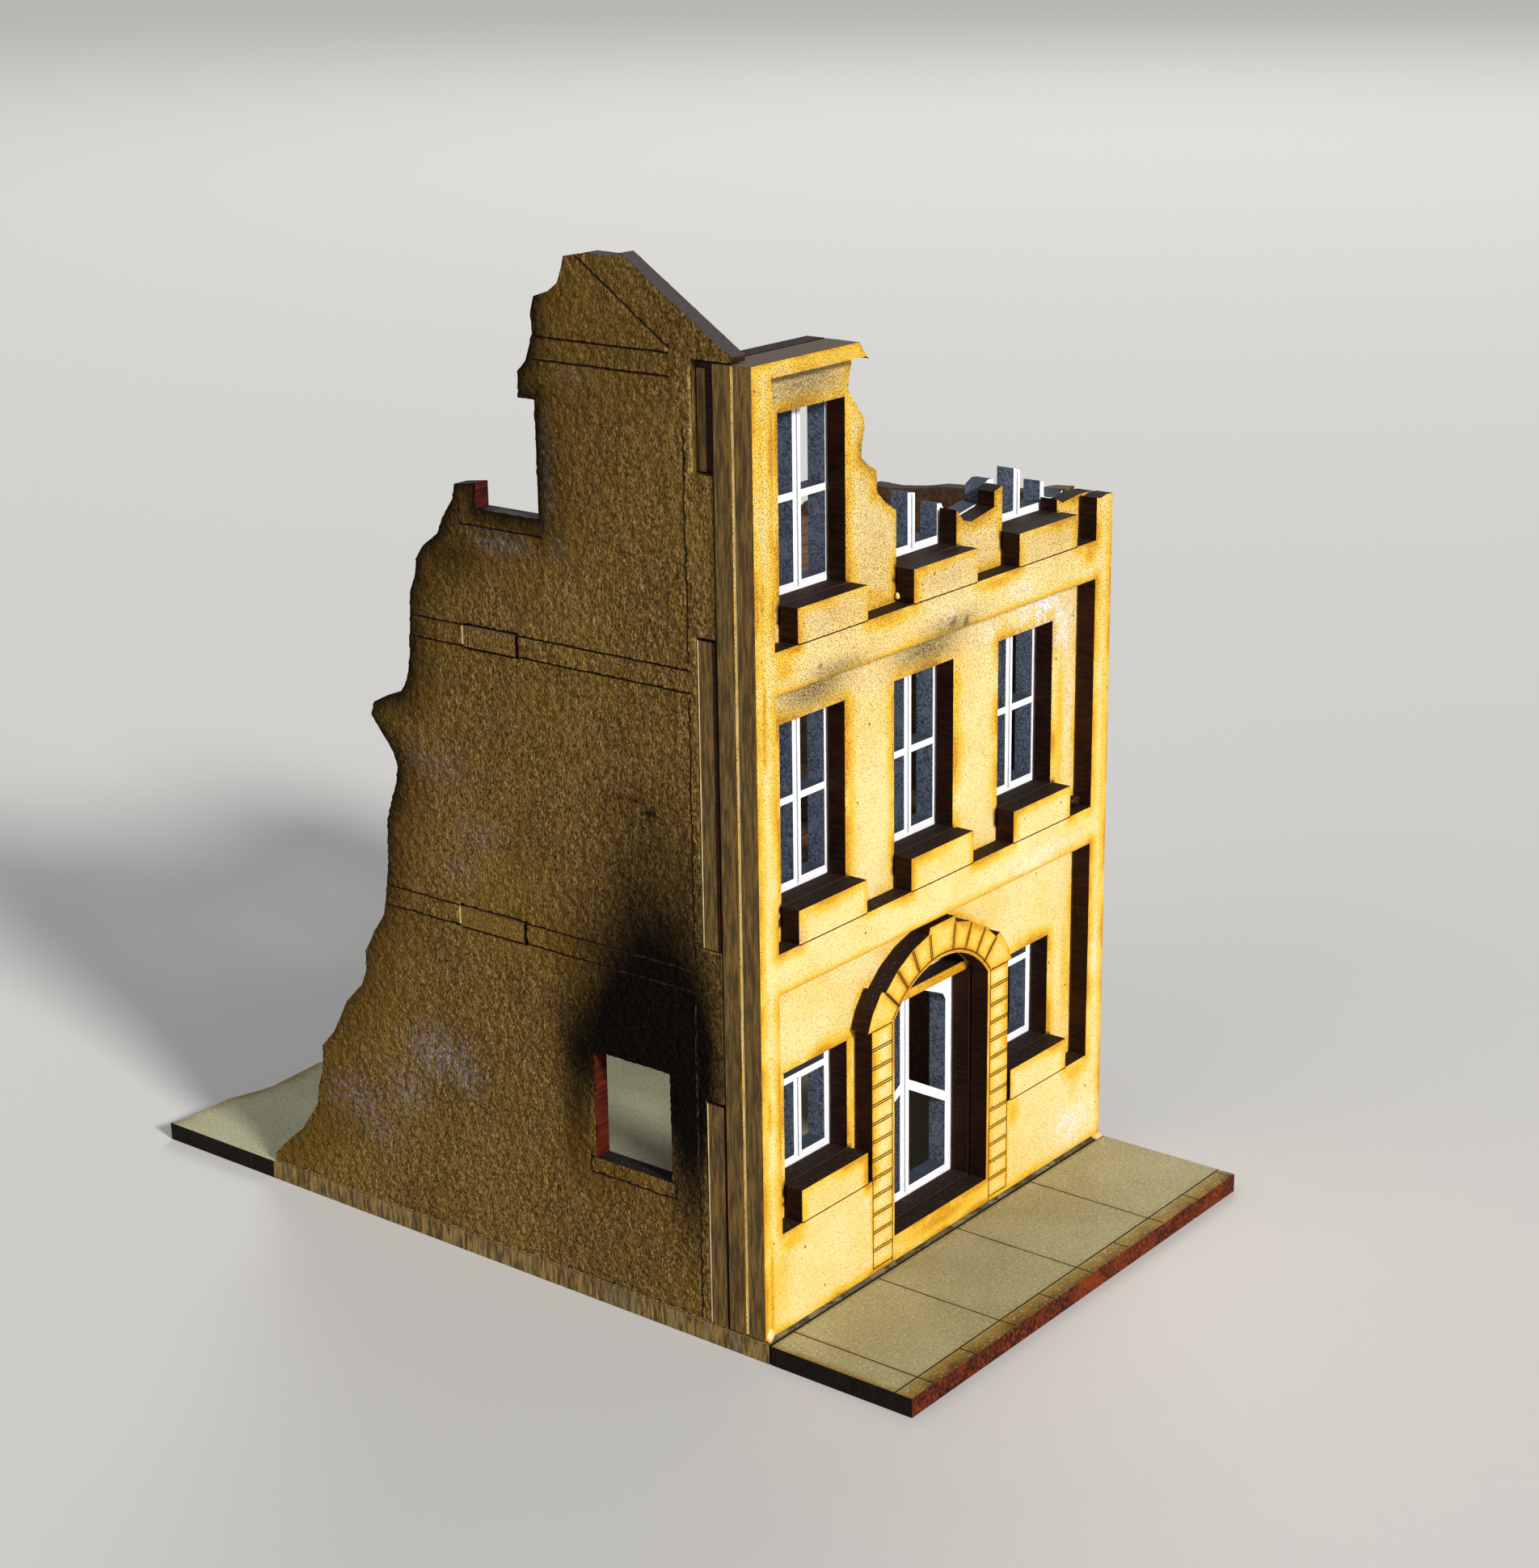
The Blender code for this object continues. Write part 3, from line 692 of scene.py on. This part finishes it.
# The gable adds its roof lines, the line beside the fingers and two sills.
GABLE_LINES = wall_lines() + [
    ((13.5, 130.8), (36.2, 130.8)), ((13.5, 133.8), (36.0, 133.8)),
    ((13.5, 134.5), (28.5, 144.7)), ((WALL_FRONT, 0.4), (WALL_FRONT, 47.5)),
    ((WALL_FRONT, 53.0), (WALL_FRONT, 89.0)), ((WALL_FRONT, 94.0), (WALL_FRONT, 124.5)),
    ((15.6, 17.0), (31.0, 17.0)), ((15.6, 17.0), (15.6, 19.4)), ((31.0, 17.0), (31.0, 19.4)),
    ((15.6, 19.4), (16.1, 19.4)), ((30.1, 19.4), (31.0, 19.4)),
    ((35.8, 107.2), (51.2, 107.2)), ((35.8, 107.2), (35.8, 109.5)), ((51.2, 107.2), (51.2, 109.5)),
]


def pavement_lines():
    """Joints of the slabs and the kerb stones."""
    front, kerb, back = -24.25, -21.6, -0.85
    lines = [((0.1, kerb), (WIDTH - 0.1, kerb))]
    lines += [((x, kerb), (x, back)) for x in (5.0, 24.5, 44.1, 63.6)]
    lines += [((x, front), (x, kerb)) for x in (5.0 + 9.78 * number for number in range(9))]
    return lines


BOARD_WIDTH, WALL_INSET = 4.0, 3.4


def board_lines(front, rear):
    """Joints of floorboards that run along the facade, between the walls."""
    count = math.ceil((rear - front) / BOARD_WIDTH)
    depths = [front + BOARD_WIDTH * number for number in range(1, count)]
    return [((WALL_INSET, y), (WIDTH - WALL_INSET, y)) for y in depths]


# --------------------------------------
# The facade.
# --------------------------------------
OVERLAY_LINES, SURROUND_LINES = overlay_lines()
facade_slots = [CREAM, FACADE_EDGE, UNDERSIDE, LINE, COMBED, CORNICE]
CORNICE_LOW = 129.5


def outer(middle):
    """Whether an edge lies on the model's own left or right side."""
    return not 0.05 < middle[0] < WIDTH - 0.05


def overlay_scorch(points, border):
    """Scorch at the cuts and on the door's stones, in a stripe and in blots."""
    x, z = points[:, 0], points[:, 1]
    stain = edge_stain(points, border, 1.35, 1, 0.3, 1.15)
    stones = edge_stain(points, SURROUND_LINES, 0.6, 2, 0.4, 1.0)
    from_arch = np.hypot(x - DOOR, z - ARCH_Z)
    on_arch = (z > SPRING - 0.5) & (z < 49) & (from_arch < 21)
    stones = np.where(on_arch, stones * 0.8 + 0.26, stones * 0.62)
    stripe = np.exp(-((x - 1.6) / 0.55) ** 2)
    stripe = stripe * np.clip(wander(points * (1, 0.25), 3.0, 44) + 0.35, 0, 0.8)
    extra = blots(points, [
        (DOOR, 2.6, 12.5, 1.9, 0.8), (5.8, 93.5, 2.6, 3.4, 0.6), (29, 95.3, 6, 1.3, 0.7),
        (54.6, 95.3, 6, 1.3, 0.7), (78.4, 94.8, 2.6, 2.2, 0.75), (11, 50.2, 10, 1.0, 0.55),
        (44, 50.2, 24, 1.0, 0.5), (73, 50.4, 10, 1.2, 0.6), (6.0, 13.2, 4, 1.8, 0.6),
        (77, 13.4, 4, 2.0, 0.65), (83, 60, 1.2, 50, 0.4), (60.0, 12.5, 2.0, 3.0, 0.6),
        (12, 132.3, 9, 1.2, 0.5), (76.5, 11, 2.4, 5, 0.3), (3.5, 8, 4, 10, 0.35),
        (24.5, 90.8, 5, 0.8, 0.45), (60, 90.8, 20, 0.7, 0.45),
    ])
    whole = np.clip(np.maximum.reduce([stain, stones, extra, stripe]), 0, 1)
    # The lower parts of the two bands have only a crisp line at the cut.
    low_band = np.minimum(abs(z - 90.9), abs(z - 50.1)) < 1.9
    between = (x > PILASTER + 0.6) & (x < PANEL_RIGHT - 0.6)
    crisp = 0.8 * np.exp(-(distance(points, border) / 0.5) ** 2)
    return np.where(low_band & between, np.maximum(whole * 0.55, crisp), whole)


def wall_scorch(points, border):
    """Scorch at the openings and the broken top, and beside the overlay."""
    cuts = [
        (start, end) for start, end in border
        if min(start[0], end[0]) > 1.0 and max(start[0], end[0]) < WIDTH - 1 and max(start[1], end[1]) > 1.0]
    stain = edge_stain(points, cuts, 1.7, 3, 0.25, 1.2)
    overlay, _, _ = face_outline("facade_overlay", 1, -1)
    shade = edge_stain(points, overlay, 1.1, 5, 0.0, 0.9)
    extra = blots(points, [
        (8.0, 71, 0.9, 14, 0.5), (24.2, 66, 1.2, 16, 0.6), (76.0, 68, 1.5, 16, 0.5), (5.2, 30, 1.0, 14, 0.4),
        (61.0, 86, 2.0, 1.5, 0.6), (35.5, 86.2, 2.0, 1.4, 0.5), (78.5, 28, 1.5, 14, 0.4),
        (24, 117, 2, 6, 0.35), (31, 113, 2, 3, 0.5), (28.6, 98.3, 5, 1.2, 0.5),
    ])
    return np.clip(np.maximum.reduce([stain, shade, extra]), 0, 1)


def shade_under_sills(points, border):
    """Painted shade: darkens the strips of the wall that show in the gaps under the sills and beside the
    door.
    """
    x, z = points[:, 0], points[:, 1]
    result = np.zeros(len(points))
    for centre, foot in SILLS:
        top = foot + SILL_HEIGHT
        result[(abs(x - centre) < 7.9) & (z > top - 3) & (z < top + 0.05)] = 1
    result[(abs(x - DOOR) < JAMB_IN) & (z > 3.0) & (z < 4.3)] = 1
    result[(x > DOOR + 10.8) & (x < DOOR + 12.6) & (z < 38)] = 1
    return result


def spray(points, border):
    """How dense the dark specks are: denser toward the top."""
    return np.clip((points[:, 1] - 62) / 40, 0.05, 1) + 0.2 * wander(points, 14, 6)


def facade_edge(middle, row):
    """The outer edges are painted with the side walls; the cornice is dusty."""
    if outer(middle):
        return PAINTED
    return SECOND_EDGE if middle[1] > CORNICE_LOW else EDGE


def window_edge(middle, row):
    """Fingers are painted with the gable, with painted shadow along the front and a glue line."""
    if middle[1] > 132:
        return EDGE
    if outer(middle):
        if row == 3:
            return SECOND_EDGE
        # The front row above 40 mm takes the dark burnt edge as painted shadow.
        return EDGE if row == 0 and middle[1] > 40 else PAINTED
    if middle[0] < 1.1 and middle[1] > 119:
        return EDGE if row < 2 else PAINTED
    return EDGE if middle[0] < 3.4 or middle[0] > WIDTH - 3.4 else SHADED_WHITE_CUT


sheet(
    "facade_overlay", 1, -1, 0.62, facade_slots,
    {
        "scorch": overlay_scorch,
        "soot": blotted(
            (17, 91.2, 8, 1.8, 0.95), (43, 91.4, 8, 2.2, 0.95), (68, 98.5, 9, 3, 0.35),
            (42, 98.5, 8, 3, 0.4), (16, 98.5, 8, 3, 0.35), (12, 131.5, 10, 1.2, 0.3)),
        "scuff": blotted(
            (42, 93.3, 3.0, 1.5, 0.35), (66, 51.5, 9, 1.6, 0.6), (76, 5, 6, 3.2, 0.85), (81.5, 31, 1, 4, 0.5),
            (60, 93, 4, 1.6, 0.5), (8.5, 56.5, 2, 1.6, 0.4)),
        "specks": spray,
        "char": lambda p, b: np.clip(2.2 * blots(p, [
            (43.4, 91.7, 0.45, 0.5, 1.0), (44.0, 92.2, 0.4, 0.25, 0.8), (46.9, 91.3, 0.25, 0.8, 1.0),
            (46.5, 91.0, 0.5, 0.25, 0.9), (13.3, 92.6, 0.3, 0.3, 1.0), (64.4, 97.0, 0.3, 0.3, 0.9)]), 0, 0.9),
    },
    OVERLAY_LINES, None, facade_edge, groove_width=0.2, groove_depth=0.16,
)
sheet(
    "facade_wall", 1, -1, 0.7, facade_slots,
    {
        "scorch": wall_scorch,
        "soot": blotted(
            (16, 88.2, 9, 3.4, 1.2), (42, 88.2, 10, 3.4, 1.2), (15, 128.8, 12, 3.5, 1.0),
            (28, 119, 3, 9, 0.5), (22, 90, 4, 1.5, 0.6), (52, 100, 6, 6, 0.3), (30, 106, 5, 8, 0.3)),
        "scuff": blotted(
            (71, 87.4, 7.5, 3.0, 1.0), (76.3, 84, 2.6, 5, 1.0), (78.5, 72, 1, 6, 0.5), (56, 87, 4, 2, 0.5)),
        "specks": spray,
        "char": shade_under_sills,
    },
    (), None, facade_edge,
)
sheet(
    "window_sheet", 1, -1, 0.9, [WHITE, FACADE_EDGE, WHITE_BACK, WHITE_LINE, COMBED, GLUE, SHADED_WHITE_EDGE], {},
    window_lines(), None, window_edge, groove_width=0.28, groove_depth=0.18, rows=(0.5, 1.6, 2.75),
    # The sheet's front near its sides and top takes the dark burnt edge as painted shade where it shows in
    # the gaps.
    face_slot=lambda m: EDGE if m[0] < 3 or m[1] > 131.5 or m[0] > WIDTH - 3 else FACE,
)


def soft_dents(size, depth, seed):
    """Gentle relief, as a depth below the flat."""
    def relief(points, border):
        return depth * np.clip(0.5 + 0.5 * wander(points, size, seed), 0, 1)
    return relief


# --------------------------------------
# The side walls.
# --------------------------------------
RIDGES = [            # runs of filler beside the fingers
    [(12.2, 134), (12.8, 128), (14.4, 122), (14.0, 116), (12.2, 111), (13.6, 106), (14.2, 101)],
    [(10.6, 120), (11.6, 113), (10.4, 108), (12.6, 104)],
    [(11.8, 96), (13.4, 90), (12.6, 84)],
    [(10.8, 78), (12.4, 73), (11.2, 67), (12.0, 58)],
    [(35.8, 108.5), (35.2, 104), (36.0, 99)],
]
FINGER_LINES = [
    ((9.98, 0.5), (9.98, 33.1)), ((9.98, 55.6), (9.98, 97.4)), ((9.98, 119.3), (9.98, 132.6)),
    ((6.7, 33.6), (6.7, 55.2)), ((6.7, 55.1), (9.9, 55.1)),
]
TAB_LINES = [((54.35, 48.8), (54.35, 51.4)), ((51.35, 90.2), (51.35, 92.8))]
SLOTS_REAR = 56
SLOT_HEIGHTS = ((48, 52.2), (89.4, 93.6))


def stucco_relief(points, border):
    """Grainy textured paint, up to about 0.5 mm below the outermost grains."""
    grains = np.clip(0.5 + 1.5 * wander(points * (1, 0.75), 0.66, 31, 2), 0, 1)
    swells = np.clip(0.5 + 0.8 * wander(points, 5.5, 32, 2), 0, 1)
    sink = 0.28 * grains + 0.09 * swells + 0.03
    for ridge in RIDGES:
        sink = sink - 0.2 * np.exp(-(distance(points, line_chain(ridge)) / 0.4) ** 2)
    return np.clip(sink, 0.0, 0.55)


def glue_lines_and_highlights(points, border):
    """Thin glue lines along the fingers and the floor tabs, drawn pale as painted highlights of lit edges."""
    lines = np.where(distance(points, FINGER_LINES) < 0.16, 0.9, 0)
    return np.maximum(lines, np.where(distance(points, TAB_LINES) < 0.22, 0.9, 0))


def broken_edges(border):
    """Cuts of a side wall's ragged rear and top, without its straight ones."""
    return [e for e in border if min(e[0][0], e[1][0]) > 34 and min(e[0][1], e[1][1]) > 4 and not in_slot(e)]


def in_slot(edge):
    """Whether an edge belongs to a slot for a floor's tab."""
    middle = (edge[0] + edge[1]) / 2
    return middle[0] < SLOTS_REAR and any(low < middle[1] < high for low, high in SLOT_HEIGHTS)


def side_burn(points, border):
    """Warmer, darker paint toward the broken edges and round the window."""
    near = edge_stain(points, broken_edges(border), 7.0, 8, 0.4, 1.0)
    return np.maximum(near, blots(points, [
        (29, 18, 9, 6, 0.65), (33, 24, 3, 7, 0.6), (33, 50, 10, 6, 0.45), (40, 100, 6, 6, 0.4),
        (44, 124, 26, 20, 0.55)]))


def side_soot(points, border):
    """Airbrushed soot on the broken edges, and darker toward the top."""
    rise = np.clip((points[:, 1] - 20) / 45, 0, 1)
    gap = distance(points, broken_edges(border))
    reach = 1.8 + 1.6 * rise + 1.2 * wander(points, 9, 14)
    return np.clip(1.05 * np.exp(-(gap / np.maximum(reach, 0.8)) ** 1.3) * (0.2 + 0.7 * rise), 0, 1)


def gable_soot(points, border):
    """The plume over the small window, a scratch, and soot at the breaks."""
    cloud = sum(blots(points, [spot]) for spot in (
        (21, 36.5, 12, 8.5, 1.15), (20.5, 45, 12, 13, 0.75), (12.6, 33, 4.6, 16, 0.85),
        (18, 56, 10.5, 20, 0.55), (33.0, 34, 4.2, 9, 0.45), (34.0, 24, 3.0, 8, 0.3),
        (13.5, 20, 3.6, 10, 0.4), (54, 103, 8, 5, 0.45), (20, 140, 40, 30, 0.12),
    ))
    scratch = blots(points, [(22, 73.6, 4.5, 0.5, 0.8), (18.6, 72.2, 2.2, 0.8, 0.95)])
    cloud = 1 - (1 - np.clip(cloud * (1 + 0.15 * wander(points, 6, 12)), 0, 1)) ** 1.7
    return np.clip(np.maximum.reduce([cloud, scratch, side_soot(points, border)]), 0, 1)


def gable_brushed(points, border):
    """Patches of blue-grey dry brushing."""
    return np.clip(blots(points, [
        (60, 27.5, 8, 4.5, 1.1), (55, 25, 4, 3, 1.0), (67, 20, 5, 5, 0.7), (78, 16, 7, 4.5, 0.75),
        (74, 12, 5, 4, 0.6), (44, 105.5, 6, 1.8, 1.0), (34.5, 116, 1.4, 9, 0.8), (33, 106, 2.5, 3, 0.4),
        (58, 72, 8, 4, 0.45), (50, 63, 6, 3.5, 0.45), (54, 57, 5, 3, 0.4), (47, 80, 8, 4, 0.15),
        (30, 129, 5, 2, 0.3),
    ]) - 0.1, 0, 1)


def side_edge(middle, row):
    """Front fingers are painted; the window and the stub are rusty, the rest bare."""
    if middle[0] < 10.2 and middle[1] < 133.2:
        return PAINTED
    small_window = middle[0] < 35 and middle[1] < 40
    stub = middle[0] > 45 and middle[1] > 104
    return SECOND_EDGE if small_window or stub else EDGE


side_slots = [STUCCO_WITH_SHADE, SIDE_EDGE, INNER, DARK_LINE, COMBED, RUST]
sheet(
    "gable_wall", 0, -1, 0.44, side_slots,
    {"burn": side_burn, "soot": gable_soot, "brushed": gable_brushed, "ridge": glue_lines_and_highlights},
    GABLE_LINES, stucco_relief, side_edge, groove_width=0.32, groove_depth=0.3,
)
sheet(
    "party_wall", 0, 1, 0.6, side_slots,
    {
        "burn": side_burn,
        "soot": side_soot,
        "brushed": blotted((30, 20, 9, 6, 0.6), (70, 18, 8, 6, 0.7), (20, 70, 5, 9, 0.4)),
        "ridge": blotted(),
    },
    wall_lines(), stucco_relief, side_edge,
)


# --------------------------------------
# Floors, base and pavement.
# --------------------------------------
FLOOR_FRONT = 9.9     # where the floors begin, behind the window sheet
WALL_REAR = 97.2      # where the side walls end on the base
PAVEMENT_FRONT = -24.3


def tab_end(middle, row):
    """Ends of the floor tabs show in the painted walls."""
    return PAINTED if outer(middle) else EDGE


floor_slots = [BOARDS, FACADE_EDGE, INNER, DARK_LINE, STUCCO_WITH_SHADE]
for node, rear in (("first_floor", 66.5), ("second_floor", 56.9)):
    sheet(
        node, 2, 1, 1.3, floor_slots, {}, board_lines(FLOOR_FRONT, rear), soft_dents(6, 0.05, 41), tab_end,
        groove_width=0.3, groove_depth=0.25,
    )


def base_edge(middle, row):
    """The side edges are painted as far back as the side walls stand."""
    return PAINTED if outer(middle) and middle[1] < WALL_REAR else EDGE


def base_stain(points, border):
    """Scorch at the torn rear, and a painted strip beside the gable's foot."""
    rear = [edge for edge in border if min(edge[0][1], edge[1][1]) > 100]
    stain = edge_stain(points, rear, 2.2, 15, 0.3, 0.9)
    return np.clip(np.where((points[:, 0] < 0.7) & (points[:, 1] < WALL_REAR + 0.2), 0.7, stain), 0, 1)


sheet(
    "base_plate", 2, 1, 1.2, [GROUND, PLATE_EDGE, UNDERSIDE, DARK_LINE, COMBED_BASE],
    {"scorch": base_stain, "grime": lambda p, b: np.where(p[:, 1] < 0.2, 0.95, 0)},
    (), soft_dents(20, 0.04, 51), base_edge,
)


def pavement_edge(middle, row):
    """The kerb's front is rusty, the ends are burnt."""
    return PAINTED if middle[1] < PAVEMENT_FRONT + 0.1 else EDGE


def kerb_stain(points, border):
    """The kerb is stained along its front, more between its joints."""
    front = np.clip(1 - (points[:, 1] - PAVEMENT_FRONT) / 3.2, 0, 1) ** 0.65
    lines = edge_stain(points, pavement_lines(), 0.8, 17, 0.1, 0.4)
    ends = np.exp(-points[:, 0] / 0.9) * 0.6
    uneven = np.clip(0.95 + 0.4 * wander(points, 6, 18), 0.55, 1.15)
    return np.clip(np.maximum.reduce([front * uneven, lines, ends]), 0, 1)


sheet(
    "pavement", 2, 1, 0.8, [PAVING, PLATE_EDGE, UNDERSIDE, DARK_LINE, KERB_EDGE],
    {"scorch": kerb_stain, "grime": lambda p, b: np.where(p[:, 1] > -1.0, 0.5, 0)},
    pavement_lines(), soft_dents(14, 0.05, 52), pavement_edge, groove_width=0.24, groove_depth=0.2,
)


# --------------------------------------
# Glue beads, paint ridges and drips.
# --------------------------------------
def bead(name, path, radius, material, seed, wobble=0.35):
    """A thin uneven line of glue or paint along a path."""
    pitch, wave = 0.8, 0.45
    samples = []
    for start, end in line_chain(path):
        start, end = Vector(start), Vector(end)
        steps = max(2, int((end - start).length / pitch))
        samples += [start.lerp(end, i / steps) for i in range(steps)]
    samples.append(Vector(path[-1]))
    curve = bpy.data.curves.new(name, "CURVE")
    curve.dimensions = "3D"
    curve.bevel_depth = radius * MM
    curve.bevel_resolution = 2
    curve.use_fill_caps = True
    spline = curve.splines.new("POLY")
    spline.points.add(len(samples) - 1)
    for point, at in zip(spline.points, samples):
        point.co = (*place(*at), 1.0)
        point.radius = 1 + wobble * noise.noise(at * wave + Vector((seed, 0, 0)))
    curve.materials.append(material)
    add_piece(name, curve)


def blob(name, at, size, material, seed):
    """A small uneven lump of dried glue or filler."""
    roughness, wave = 0.28, 1.3
    work = bmesh.new()
    bmesh.ops.create_icosphere(work, subdivisions=3, radius=1.0)
    for vertex in work.verts:
        vertex.co *= 1 + roughness * noise.noise(vertex.co * wave + Vector((seed, seed, 0)))
        vertex.co = Vector((vertex.co.x * size[0], vertex.co.y * size[1], vertex.co.z * size[2])) * MM
        vertex.co += place(*at)
    mesh = bpy.data.meshes.new(name)
    work.to_mesh(mesh)
    work.free()
    mesh.materials.append(material)
    mesh.shade_smooth()
    add_piece(name, mesh)


SEAM, GAP, TOP = 3.15, 6.45, 132.75   # overlay to wall, wall to window sheet, cornice
bead("seam_front_left", [(0.31, SEAM, 0.4), (0.31, SEAM, 133.0)], 0.27, GLUE, 1, 0.1)
bead("seam_front_right", [(WIDTH - 0.31, SEAM, 0.4), (WIDTH - 0.31, SEAM, 102.0)], 0.27, GLUE, 8, 0.1)
# Dark beads fill the gaps at the overlay's foot, at the left and along the cornice as painted shade.
bead("overlay_foot_gap_shade", [(0.4, 0.32, 0.25), (WIDTH - 0.4, 0.32, 0.25)], 0.2, PLATE_EDGE, 2)
bead("left_gap_shade", [(0.3, GAP, 0.4), (0.3, GAP, 132.6)], 0.2, PLATE_EDGE, 4)
bead("cornice_gap_shade", [(0.4, GAP, TOP), (23.2, GAP, TOP)], 0.2, FACADE_EDGE, 5)
bead("cornice_front_gap_shade", [(0.4, SEAM, TOP), (23.2, SEAM, TOP)], 0.2, FACADE_EDGE, 6)
bead("gable_foot", [(0.26, 6.7, 0.14), (0.26, 96.8, 0.14)], 0.17, COMBED_BASE, 7)
bead("tab_glue_lower", [(0.26, 54.35, 48.9), (0.26, 54.35, 51.3)], 0.22, GLUE, 9, 0.1)
bead("tab_glue_upper", [(0.26, 51.35, 90.3), (0.26, 51.35, 92.7)], 0.22, GLUE, 10, 0.1)
blob("glue_corner_left", (0.95, -0.02, 0.75), (0.7, 0.36, 1.0), GLUE, 1)
blob("glue_corner_right", (WIDTH - 1.25, -0.35, 0.2), (0.9, 0.75, 0.5), GLUE, 2)
blob("glue_panel_corner", (79.0, 2.4, 56.2), (1.3, 0.8, 0.8), DARK_GLUE, 3)
blob("glue_panel_drip", (77.3, 2.7, 55.9), (1.1, 0.5, 0.5), DARK_GLUE, 4)
blob("glue_sill", (34.5, 2.8, 97.0), (0.5, 0.4, 0.5), GLUE, 5)
blob("stucco_lump", (0.62, 20.5, 63.0), (0.5, 0.5, 0.7), STUCCO_WITH_SHADE, 6)


# --------------------------------------
# Floor, light and camera.
# --------------------------------------
def backdrop(size):
    """The plain pale floor."""
    bpy.ops.mesh.primitive_plane_add(size=size, location=(0, 0, base_low.z))
    floor = bpy.context.object
    floor.name = "studio_floor"
    f = Finish("studio_floor", 0.9, 0.1)
    f.shader.inputs["Base Color"].default_value = rgb(222, 221, 218)
    floor.data.materials.append(f.material)


def lamp(name, kind, power, colour, direction, at=(0, 0, 0)):
    """A lamp that shines along a direction."""
    data = bpy.data.lights.new(name, kind)
    data.energy = power
    data.color = colour
    item = bpy.data.objects.new(name, data)
    item.location = at
    item.rotation_euler = Vector(direction).to_track_quat("-Z", "Y").to_euler()
    bpy.context.scene.collection.objects.link(item)
    return data


def disk_lamp(name, at, size, power, colour):
    """A round area lamp aimed at the model's middle."""
    aim = Vector((0, 0, 0.07))
    data = lamp(name, "AREA", power, colour, aim - Vector(at), at)
    data.shape = "DISK"
    data.size = size


def surround_light(low, high, rise):
    """A cool dim world, brighter at the horizon: low there, high above the rise."""
    world = bpy.data.worlds.new("studio")
    world.use_nodes = True
    nodes, links = world.node_tree.nodes, world.node_tree.links
    background = nodes["Background"]
    background.inputs["Color"].default_value = (0.93, 0.95, 1.0, 1.0)
    direction = nodes.new("ShaderNodeTexCoord")
    split = nodes.new("ShaderNodeSeparateXYZ")
    glow = nodes.new("ShaderNodeMapRange")
    for socket, number in (("From Min", 0.0), ("From Max", rise), ("To Min", low), ("To Max", high)):
        glow.inputs[socket].default_value = number
    links.new(direction.outputs["Generated"], split.inputs[0])
    links.new(split.outputs["Z"], glow.inputs["Value"])
    links.new(glow.outputs["Result"], background.inputs["Strength"])
    bpy.context.scene.world = world


backdrop(60.0)
key = lamp("key", "SUN", 3.35, (1.0, 0.98, 0.95), (0.62, 2.4, -1.18))
key.angle = math.radians(9.5)
disk_lamp("fill", (-1.9, 0.3, 1.2), 1.6, 7.0, (0.97, 0.98, 1.0))
disk_lamp("rim", (1.7, 0.9, 1.6), 1.2, 14.0, (1.0, 1.0, 1.0))
surround_light(0.5, 0.21, 0.1)
bpy.context.scene.view_settings.view_transform = "Standard"

# The camera, as fitted to the photo: place in the facade's coordinates, turn and lens.
CAMERA_AT = (-278.49, -222.82, 195.29)
SENSOR_WIDTH, FOCAL_LENGTH = 36.0, 67.53
YAW, PITCH, ROLL = math.radians(38.421), math.radians(17.926), math.radians(-0.805)
forward = Vector((math.cos(YAW) * math.cos(PITCH), math.sin(YAW) * math.cos(PITCH), -math.sin(PITCH)))
right = forward.cross(Vector((0, 0, 1))).normalized()
upward = right.cross(forward)
tilted_right = right * math.cos(ROLL) + upward * math.sin(ROLL)
tilted_up = upward * math.cos(ROLL) - right * math.sin(ROLL)
lens = bpy.data.cameras.new("camera")
lens.sensor_width = SENSOR_WIDTH
lens.lens = FOCAL_LENGTH
lens.clip_start = 0.01
camera = bpy.data.objects.new("camera", lens)
turn = Matrix((tilted_right, tilted_up, -forward)).transposed().to_4x4()
turn.translation = place(*CAMERA_AT)
camera.matrix_world = turn
bpy.context.scene.collection.objects.link(camera)
bpy.context.scene.camera = camera

bpy.context.view_layer.update()
